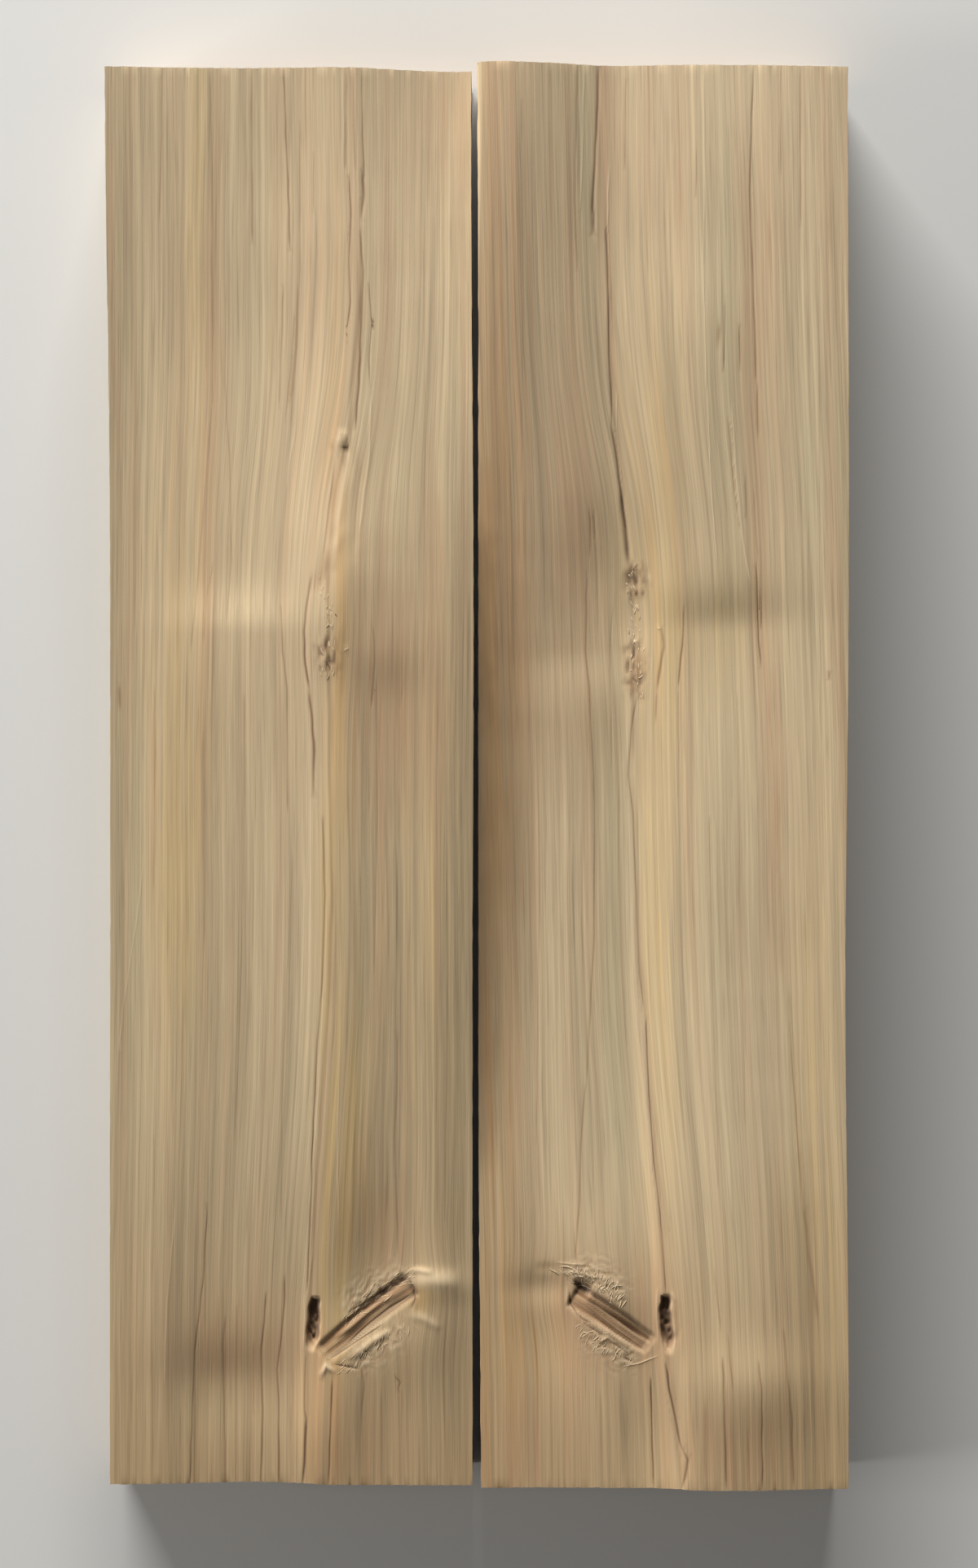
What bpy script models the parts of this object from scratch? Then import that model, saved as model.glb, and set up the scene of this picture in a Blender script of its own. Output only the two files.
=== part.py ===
"""Pair of wooden planks: one log split down its length, the two halves sawn to thick planks.

The planks lie on their sawn backs, side by side like an open book, with the split faces up.
Both faces come from one formula: where the left face stands proud, the right one is hollow.
Frame: metres, +X to the right, +Y along the planks, +Z out of the split faces, backs at Z = 0.
"""
import bmesh
import bpy
import numpy as np
from mathutils import Vector

# Driving dimensions
MM = 0.001
LEVEL = 0.060            # back to the middle level of a split face
TOP_CUT = 0.5232         # sawn top ends, both planks
LEFT_BOTTOM_CUT = -0.5224
RIGHT_BOTTOM_CUT = -0.5232
LEFT_OUTER = 0.2707      # outer side of the left plank, from the middle of the pair
RIGHT_OUTER = 0.2739     # outer side of the right plank
TOP_FLARE = 0.0032       # the left plank is this much wider at the top
WAIST = 0.0026           # the right plank's outer side is hollow by this much below the middle

# The right half was sawn out a little over and turned against the left one
RIGHT_SHIFT = 11.6       # millimetres
RIGHT_TURN = 0.021       # radians
RIGHT_SLIDE = 2.7        # millimetres along the log, so that the turn is about the plank's middle

# Mesh cells, across and along; they are smaller beside the pith and at the two knots
COLUMNS = 36
ROWS = 80

# The two knots, along the log in millimetres
UPPER_KNOT = 105
LOWER_KNOT = -400

# The broad swells of the split, laid out by eye on round numbers, in millimetres: distance
# from the fold, half width, place along the log, half length up it, half length down it, height
SPLIT_BASE = -2.5
SWELLS = (
    (85, 45, 10, 280, 270, 9.5),       # long back over the pith
    (100, 18, 20, 400, 400, 4.0),      # sharper crest on it
    (20, 40, 540, 180, 180, -11.5),    # the corner at the fold falls away, top end
    (20, 28, -60, 240, 220, 8.0),      # the fold side stands high in the middle
    (160, 50, -523, 180, 180, -8.0),   # trough at the bottom end
    (160, 50, 360, 110, 110, -5.0),    # hollow above the middle
    (275, 30, 540, 160, 160, 4.5),     # the outer corner stands up, top end
    (255, 22, 120, 280, 280, -4.0),    # shallow hollow along the outer side
    (150, 50, 390, 35, 35, 1.0),       # faint ripple near the top

    # Round the upper knot: the field rises beside it, steep on its upper side
    (170, 40, UPPER_KNOT, 20, 70, 2.5),
    (95, 30, UPPER_KNOT + 50, 35, 30, 2.5),
    (65, 25, UPPER_KNOT - 10, 35, 20, 2.0),
    (108, 9, UPPER_KNOT + 13, 26, 26, 2.0),    # bark ring
    (114, 6, UPPER_KNOT - 21, 9, 9, -3.0),     # pit under it

    # Round the lower knot and its branch
    (80, 22, LOWER_KNOT + 20, 50, 25, -4.0),   # hollow above the branch
    (45, 25, LOWER_KNOT, 30, 30, 2.5),         # rise round the branch's tip
    (28, 16, LOWER_KNOT + 25, 8, 8, 1.0),      # narrow fold beyond the tip
    (115, 15, LOWER_KNOT - 80, 40, 40, 3.5),   # back under the knot
    (180, 35, LOWER_KNOT - 50, 20, 25, -2.5),  # dip across the outer side
    (120, 5, LOWER_KNOT - 2, 17, 17, -4.0),    # bark pocket
)

# The branch of the lower knot runs from the pith towards the fold, in millimetres
BRANCH_ROOT = (120, -425)
BRANCH_TIP = (46, -371)
BRANCH_HALF_WIDTH = 9.0
BRANCH_HEIGHT = 2.0
BRANCH_SLOT = 2.5        # depth of the dark slot along its upper side

# The broken ledge beside the pith at the top end, in millimetres
LEDGE_DROP = 3.0
LEDGE_REACH = 24.0
LEDGE_END = 420.0


def bump(t):
    """Bell curve: one at t = 0, nothing beyond about three."""
    return np.exp(-0.5 * t * t)


def rise(t):
    """Smooth step from nothing at t = -2 to one at t = 2."""
    return 0.5 * (1.0 + np.tanh(t))


def pith_line(v):
    """Distance of the pith from the fold at the place v along the log, in millimetres."""
    return 84.5 + 24.0 * rise((240.0 - v) / 65.0) + 18.0 * rise((-280.0 - v) / 110.0)


def split_height(u, v):
    """Height of the split above its middle level, at u from the fold and v along the log."""
    height = np.full(np.shape(u), SPLIT_BASE)
    for place, half_width, along, half_length_up, half_length_down, size in SWELLS:
        half_length = np.where(v > along, half_length_up, half_length_down)
        height = height + size * bump((u - place) / half_width) * bump((v - along) / half_length)

    # The wood on the fold side of the pith tore out one ledge lower at the top end
    beside = pith_line(v) - u
    ledge = rise(beside / 2.0) * np.exp(-np.maximum(beside, 0.0) / LEDGE_REACH)
    height = height - LEDGE_DROP * ledge * rise((v - LEDGE_END) / 30.0)

    # The branch: a round back along its line, with a slot along its upper side
    run_u = BRANCH_TIP[0] - BRANCH_ROOT[0]
    run_v = BRANCH_TIP[1] - BRANCH_ROOT[1]
    length = np.hypot(run_u, run_v)
    along = ((u - BRANCH_ROOT[0]) * run_u + (v - BRANCH_ROOT[1]) * run_v) / length
    across = (-(u - BRANCH_ROOT[0]) * run_v + (v - BRANCH_ROOT[1]) * run_u) / length
    inside = rise(along / 5.0) * rise((length - along) / 5.0)
    height = height + BRANCH_HEIGHT * bump(across / BRANCH_HALF_WIDTH) * inside
    slot = bump((across + BRANCH_HALF_WIDTH + 5.0) / 3.5) * rise((along - 0.35 * length) / 6.0) * inside
    return height - BRANCH_SLOT * slot


def left_sides(y):
    """Outer and fold side of the left plank at y: x in metres, as sawn."""
    outer = -LEFT_OUTER - TOP_FLARE * bump((0.5300 - y) / 0.160)
    inner = -0.0025 - 0.0012 * rise((y - 0.330) / 0.120) + 0.0008 * bump((y - 0.110) / 0.120)
    return outer, inner


def right_sides(y):
    """Outer and fold side of the right plank at y: x in metres, as sawn."""
    outer = RIGHT_OUTER - WAIST * bump((y + 0.150) / 0.130)
    inner = 0.0012 + 0.0020 * rise((-0.380 - y) / 0.100) - 0.0008 * rise((y - 0.440) / 0.060)
    return outer, inner


def left_place(x, y):
    """Where a point of the left plank lies on the split: millimetres from the fold, and along."""
    return -x / MM, y / MM


def right_place(x, y):
    """The same for the right plank, which was sawn out shifted and slightly turned."""
    return x / MM - RIGHT_SHIFT + RIGHT_TURN * y / MM, y / MM - RIGHT_TURN * x / MM + RIGHT_SLIDE


def across_spacing(t):
    """Even steps 0..1 from the fold side to the outer side become smaller steps at the pith."""
    return np.interp(t, (0.0, 0.20, 0.57, 1.0), (0.0, 0.22, 0.46, 1.0))


def along_spacing(t):
    """Even steps 0..1 from the bottom end to the top end become smaller steps at the knots."""
    return np.interp(t, (0.0, 0.07, 0.29, 0.60, 0.78, 1.0), (0.0, 0.09, 0.18, 0.55, 0.66, 1.0))


def wood(name, colour, roughness):
    """Plain wood material."""
    material = bpy.data.materials.new(name)
    material.use_nodes = True
    shader = material.node_tree.nodes["Principled BSDF"]
    shader.inputs["Base Color"].default_value = (*colour, 1.0)
    shader.inputs["Roughness"].default_value = roughness
    shader.inputs["Metallic"].default_value = 0.0
    material.diffuse_color = (*colour, 1.0)
    return material


def plank(name, sides, place, sign, bottom, material, collection, chip=None):
    """One solid plank: a grid shaped to the split face, with its edge drawn down to a flat back."""
    shape = bmesh.new()
    bmesh.ops.create_grid(shape, x_segments=COLUMNS, y_segments=ROWS, size=1.0)
    grid = np.array([vert.co for vert in shape.verts])
    y = bottom + (TOP_CUT - bottom) * along_spacing((grid[:, 1] + 1.0) / 2.0)
    outer, inner = sides(y)
    x = inner + (outer - inner) * across_spacing((grid[:, 0] + 1.0) / 2.0)
    u, v = place(x, y)
    z = LEVEL + sign * split_height(u, v) * MM
    for vert, position in zip(shape.verts, np.stack((x, y, z), axis=1)):
        vert.co = position

    # Sawn sides and ends: the rim goes straight down to the back, which is one flat face
    rim = [edge for edge in shape.edges if edge.is_boundary]
    walls = bmesh.ops.extrude_edge_only(shape, edges=rim)["geom"]
    for item in walls:
        if isinstance(item, bmesh.types.BMVert):
            item.co.z = 0.0
    foot = [item for item in walls if isinstance(item, bmesh.types.BMEdge) and item.is_boundary]
    bmesh.ops.edgeloop_fill(shape, edges=foot)

    # A knocked corner is cut off by one plane
    if chip:
        point, direction = chip
        everything = shape.verts[:] + shape.edges[:] + shape.faces[:]
        bmesh.ops.bisect_plane(shape, geom=everything, plane_co=point, plane_no=direction, clear_outer=True)
        bmesh.ops.holes_fill(shape, edges=[edge for edge in shape.edges if edge.is_boundary], sides=0)
    bmesh.ops.recalc_face_normals(shape, faces=shape.faces[:])

    mesh = bpy.data.meshes.new(name)
    shape.to_mesh(mesh)
    shape.free()
    mesh.materials.append(material)
    made = bpy.data.objects.new(name, mesh)
    collection.objects.link(made)
    return made


def main():
    for item in list(bpy.data.objects):
        bpy.data.objects.remove(item, do_unlink=True)
    pair = bpy.data.collections.new("pair_of_wooden_planks")
    bpy.context.scene.collection.children.link(pair)

    left_wood = wood("split_wood_left", (0.43, 0.33, 0.21), 0.68)
    right_wood = wood("split_wood_right", (0.44, 0.34, 0.22), 0.68)
    plank("plank_left", left_sides, left_place, 1.0, LEFT_BOTTOM_CUT, left_wood, pair)

    # The right plank lost the tip of its top corner at the fold
    on_end = Vector((0.0053, TOP_CUT, 0.0726))
    on_side = Vector((0.0004, TOP_CUT - 0.0080, 0.0720))
    below = Vector((0.0004, TOP_CUT, 0.0540))
    direction = (on_side - on_end).cross(below - on_end).normalized()
    if direction.z < 0.0:
        direction.negate()
    plank("plank_right", right_sides, right_place, -1.0, RIGHT_BOTTOM_CUT, right_wood, pair,
          chip=(on_end, direction))


main()
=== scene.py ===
# %% [markdown]
# # A pair of wooden planks
#
# A log was split down its length and opened like a book. Each half was then sawn to a thick
# plank, so the two split faces are one surface, seen once as hills and once as hollows. One
# could sculpt each plank by hand, but the two would never match. So the surface is one formula
# here, and both planks, their growth lines, cracks and knots follow it.

# %% Load the part
import math

import bmesh
import bpy
import numpy as np
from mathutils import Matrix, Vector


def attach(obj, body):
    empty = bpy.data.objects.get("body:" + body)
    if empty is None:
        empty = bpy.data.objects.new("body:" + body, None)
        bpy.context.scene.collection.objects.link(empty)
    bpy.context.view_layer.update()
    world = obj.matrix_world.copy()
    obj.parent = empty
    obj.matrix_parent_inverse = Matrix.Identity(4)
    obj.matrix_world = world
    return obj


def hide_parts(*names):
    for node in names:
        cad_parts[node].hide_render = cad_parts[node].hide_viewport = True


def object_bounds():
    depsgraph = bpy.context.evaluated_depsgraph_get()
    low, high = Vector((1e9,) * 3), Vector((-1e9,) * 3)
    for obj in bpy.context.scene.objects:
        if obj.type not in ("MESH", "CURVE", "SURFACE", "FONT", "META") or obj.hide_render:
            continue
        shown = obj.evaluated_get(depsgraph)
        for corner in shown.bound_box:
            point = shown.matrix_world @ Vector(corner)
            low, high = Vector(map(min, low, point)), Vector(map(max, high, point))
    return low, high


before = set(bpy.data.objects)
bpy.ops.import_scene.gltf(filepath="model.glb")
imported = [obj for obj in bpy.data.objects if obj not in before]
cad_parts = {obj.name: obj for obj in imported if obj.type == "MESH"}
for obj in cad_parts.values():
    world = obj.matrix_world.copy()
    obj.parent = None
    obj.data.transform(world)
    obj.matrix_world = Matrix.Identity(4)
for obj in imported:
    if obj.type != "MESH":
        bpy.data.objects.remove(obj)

cad_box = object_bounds()
print("nodes of the part:", sorted(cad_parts))

# %% [markdown]
# ## Sizes
#
# The planks lie on their sawn backs at height zero. `LEVEL` is the middle level of the split
# faces. The photograph is read like a chart: one step on it is 0.6 mm on the wood. All later
# cells use these few sizes, so that a change here changes the whole pair.

# %% Sizes
MM = 0.001
LEVEL = 0.060
TOP_CUT = 0.5232
LEFT_BOTTOM_CUT = -0.5224
RIGHT_BOTTOM_CUT = -0.5232
CHART_STEP = 0.0006
EYE_HEIGHT = 1.750
EYE = (0.0093, -0.0054, LEVEL + EYE_HEIGHT)
EYE_ON_CHART = (600.0, 962.0)
CHART_HEIGHT = 1924
print("planks", round(TOP_CUT - RIGHT_BOTTOM_CUT, 4), "m long")

# %% [markdown]
# ## Two small curves
#
# Nearly every form here is made of a bell curve, for a swelling or a groove, and a smooth
# step, for an edge that comes and goes. Splines would do as well, but a bell needs only its
# place, width and height, and many of them add up to a soft natural form.


# %% Bell and step
def bump(t):
    """Bell curve exp(-t*t/2): one in the middle, nothing beyond about three."""
    return np.exp(-0.5 * t * t)


def rise(t):
    """Smooth step (1 + tanh t) / 2: nothing well below zero, one well above it."""
    return 0.5 * (1.0 + np.tanh(t))


print("a bell is", round(float(bump(1.0)), 2), "high one half width from its middle")

# %% [markdown]
# ## The split
#
# `u` is the distance from the fold between the planks, `v` the place along the log, both in
# millimetres. A split follows the fibres, so it rolls in long swells over each knot. A noise
# could roll too, but these swells lie where the light and shade of the photograph put them.
# Each row gives a swell's distance from the fold, half width, place along the log, half length
# up it, half length down it, and height.

# %% The split surface
UPPER_KNOT = 105
LOWER_KNOT = -400
SPLIT_BASE = -2.5
SWELLS = (
    (85, 45, 10, 280, 270, 9.5),       # long back over the pith
    (100, 18, 20, 400, 400, 4.0),      # sharper crest on it
    (20, 40, 540, 180, 180, -11.5),    # the corner at the fold falls away, top end
    (20, 28, -60, 240, 220, 8.0),      # the fold side stands high in the middle
    (160, 50, -523, 180, 180, -8.0),   # trough at the bottom end
    (160, 50, 360, 110, 110, -5.0),    # hollow above the middle
    (275, 30, 540, 160, 160, 4.5),     # the outer corner stands up, top end
    (255, 22, 120, 280, 280, -4.0),    # shallow hollow along the outer side
    (150, 50, 390, 35, 35, 1.0),       # faint ripple near the top

    # Round the upper knot: the field rises beside it, steep on its upper side
    (170, 40, UPPER_KNOT, 20, 70, 2.5),
    (95, 30, UPPER_KNOT + 50, 35, 30, 2.5),
    (65, 25, UPPER_KNOT - 10, 35, 20, 2.0),
    (108, 9, UPPER_KNOT + 13, 26, 26, 2.0),    # bark ring

    # Round the lower knot and its branch
    (80, 22, LOWER_KNOT + 20, 50, 25, -4.0),   # hollow above the branch
    (45, 25, LOWER_KNOT, 30, 30, 2.5),         # rise round the branch's tip
    (28, 16, LOWER_KNOT + 25, 8, 8, 1.0),      # narrow fold beyond the tip
    (115, 15, LOWER_KNOT - 80, 40, 40, 3.5),   # back under the knot
    (180, 35, LOWER_KNOT - 50, 20, 25, -2.5),  # dip across the outer side
)


def pith_line(v):
    """Distance of the pith from the fold: two smooth steps outwards, going down the log."""
    return 84.5 + 24.0 * rise((240.0 - v) / 65.0) + 18.0 * rise((-280.0 - v) / 110.0)


def split_height(u, v):
    """Height of the split in millimetres: a base level plus long bells, each a swell."""
    height = np.full(np.shape(u), SPLIT_BASE)
    for place, half_width, along, half_length_up, half_length_down, size in SWELLS:
        half_length = np.where(v > along, half_length_up, half_length_down)
        height = height + size * bump((u - place) / half_width) * bump((v - along) / half_length)
    return height


print("the back over the pith is", round(float(split_height(100.0, 20.0)), 1), "mm above the middle level")

# %% [markdown]
# ## The saw cuts
#
# The left plank is a little wider at its top. The right one was sawn out slightly turned
# against the split, so the same spot of the log lies a few millimetres further along. A plain
# mirror would miss that, so each plank has its own outline and its own way to the split.


# %% The two planks' outlines
LEFT_OUTER = 0.2707
RIGHT_OUTER = 0.2739
TOP_FLARE = 0.0032       # the left plank is this much wider at its top
WAIST = 0.0026           # the right plank's outer side is hollow by this much
RIGHT_SHIFT = 11.6       # the right plank was sawn out this many millimetres over
RIGHT_TURN = 0.021       # and turned by this angle in radians
RIGHT_SLIDE = 2.7        # millimetres along the log, so that it turned about its middle


def left_sides(y):
    """Outer and fold side of the left plank: nearly straight lines, in metres."""
    outer = -LEFT_OUTER - TOP_FLARE * bump((0.5300 - y) / 0.160)
    inner = -0.0025 - 0.0012 * rise((y - 0.330) / 0.120) + 0.0008 * bump((y - 0.110) / 0.120)
    return outer, inner


def right_sides(y):
    """Outer and fold side of the right plank, the outer one slightly hollow."""
    outer = RIGHT_OUTER - WAIST * bump((y + 0.150) / 0.130)
    inner = 0.0012 + 0.0020 * rise((-0.380 - y) / 0.100) - 0.0008 * rise((y - 0.440) / 0.060)
    return outer, inner


def left_place(x, y):
    """Place on the split, in millimetres: distance from the fold, and along the log."""
    return -x / MM, y / MM


def right_place(x, y):
    """The same on the right plank, shifted and turned by a small angle."""
    return x / MM - RIGHT_SHIFT + RIGHT_TURN * y / MM, y / MM - RIGHT_TURN * x / MM + RIGHT_SLIDE


LEFT = {"name": "left", "sign": 1.0, "bottom": LEFT_BOTTOM_CUT, "sides": left_sides, "place": left_place}
RIGHT = {"name": "right", "sign": -1.0, "bottom": RIGHT_BOTTOM_CUT}
RIGHT.update(sides=right_sides, place=right_place)


def broad_face(half, x, y):
    """Height of a plank's face without its fine detail: LEVEL plus or minus the split."""
    u, v = half["place"](x, y)
    return LEVEL + half["sign"] * split_height(u, v) * MM


for half in (LEFT, RIGHT):
    outer, inner = half["sides"](0.0)
    print(half["name"], "plank is", round(abs(outer - inner), 4), "m wide in the middle")

# %% [markdown]
# ## Reading places off the chart
#
# A knot or a crack is placed where the chart shows it. A line of sight from the eye through
# the chart meets the wavy face a little off the flat reading. A ray cast would find the spot in
# a finished mesh, but there is none yet, so we take the height of the face at the last guess
# and step along the line of sight again. Four steps settle it.


# %% From chart to wood
def on_wood(half, points):
    """Chart places to x, y in metres: the flat reading shrunk by (eye height - face) / eye height."""
    flat = (np.array(points, float) - EYE_ON_CHART) * CHART_STEP * (1.0, -1.0)
    spot = flat + EYE[:2]
    for _ in range(4):
        height = broad_face(half, spot[:, 0], spot[:, 1])
        spot = EYE[:2] + flat * ((EYE[2] - height) / EYE_HEIGHT)[:, None]
    return spot


print("the chart's middle on the wood:", np.round(on_wood(LEFT, (EYE_ON_CHART,))[0], 4), "m")

# %% [markdown]
# ## How far from a line
#
# Cracks, the pith, the branch and the bark pocket are all drawn along bent lines. For every
# point of the wood we need its distance from such a line, and how far along it the nearest
# spot lies. Whole arrays answer this at once, one straight piece of the line after another.


# %% Distance from a line
def near(x, y, line):
    """Signed distance from a bent line in metres (positive to the right, going down it), and how
    far along it the nearest spot lies, from 0 to 1: the nearest of its straight pieces wins."""
    steps = np.hypot(*np.diff(line, axis=0).T)
    reached = np.concatenate(([0.0], np.cumsum(steps))) / steps.sum()
    best = np.full(np.shape(x), 1e9)
    side = np.zeros(np.shape(x))
    place = np.zeros(np.shape(x))
    for index, length in enumerate(steps):
        start = line[index]
        way = (line[index + 1] - start) / length
        along = np.clip((x - start[0]) * way[0] + (y - start[1]) * way[1], 0.0, length)
        off_x = x - start[0] - along * way[0]
        off_y = y - start[1] - along * way[1]
        far = np.hypot(off_x, off_y)
        closer = far < best
        turn = way[0] * off_y - way[1] * off_x
        best = np.where(closer, far, best)
        side = np.where(closer, np.sign(turn) * far, side)
        place = np.where(closer, reached[index] + along / steps.sum(), place)
    return side, place


def lengthwise(place, start, end):
    """Fades a line in and out: even ramps over its first and its last share."""
    return np.clip(place / start, 0.0, 1.0) * np.clip((1.0 - place) / end, 0.0, 1.0)


print("halfway into its fade a line has the strength", round(float(lengthwise(0.04, 0.08, 0.08)), 2))

# %% [markdown]
# ## Smooth random waves
#
# Wood is never quite even. `waves` gives a smooth random height from a small table of seeded
# random numbers, stretched along the log. Blender has noises of its own, but here the heights
# go into the mesh as whole arrays, and a seeded table gives the same wood every time.


# %% Random waves
def waves(across, along, pitch_across, pitch_along, seed):
    """Random numbers on a lattice, blended between their four neighbours by 3t^2 - 2t^3."""
    table = np.random.default_rng(seed).uniform(-1.0, 1.0, (256, 256))
    over = across / pitch_across + 512.0
    up = along / pitch_along + 512.0
    column = np.floor(over).astype(int)
    row = np.floor(up).astype(int)
    over = over - column
    up = up - row
    over = over * over * (3.0 - 2.0 * over)
    up = up * up * (3.0 - 2.0 * up)
    next_column = (column + 1) % 256
    next_row = (row + 1) % 256
    column = column % 256
    row = row % 256
    low = table[column, row] * (1.0 - over) + table[next_column, row] * over
    high = table[column, next_row] * (1.0 - over) + table[next_column, next_row] * over
    return low * (1.0 - up) + high * up


def sway(along, pitch, seed):
    """Random waves along one direction only: a row of the same lattice."""
    return waves(along, along * 0.0, pitch, 1.0, seed)


print("one spot of the waves:", round(float(waves(3.0, 7.0, 10.0, 10.0, 1)), 2))

# %% [markdown]
# ## Grain
#
# Each point of the wood gets its distance from the pith, measured along the growth. The
# lines follow the pith closely beside it, run straight far from it, and bend round knots. A
# picture of wood laid over the planks could not do that: it would run through the knots. Each
# knot has its place from the fold and along the log, half width, half length and push.


# %% Grain
PITH_MEAN = 106.0
KNOTS = (
    (107.0, 112.0, 13.0, 38.0, 5.0),
    (48.0, -384.0, 20.0, 22.0, 7.0),
    (120.0, -402.0, 9.0, 26.0, 3.0),
)


def grain_across(u, v):
    """Signed growth distance from the pith in millimetres. The pith's wander fades with distance,
    sooner towards the fold, and each knot pushes the lines apart by up to its last number."""
    wander = pith_line(v) - PITH_MEAN
    off = u - pith_line(v)
    fade = np.where(off > 0.0, 0.4 * bump(off / 22.0) + 0.6 * bump(off / 100.0), bump(off / 34.0))
    across = u - PITH_MEAN - wander * fade
    for place, along, half_width, half_length, push in KNOTS:
        off = (u - place) / half_width
        across = across - push * np.tanh(1.5 * off) * bump(off * 0.8) * bump((v - along) / half_length)
    return across + 1.2 * waves(u, v, 40.0, 130.0, 11) * bump((u - PITH_MEAN) / 200.0)


print("the fold side is", round(float(-grain_across(0.0, 0.0)), 1), "mm of growth from the pith")
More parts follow.
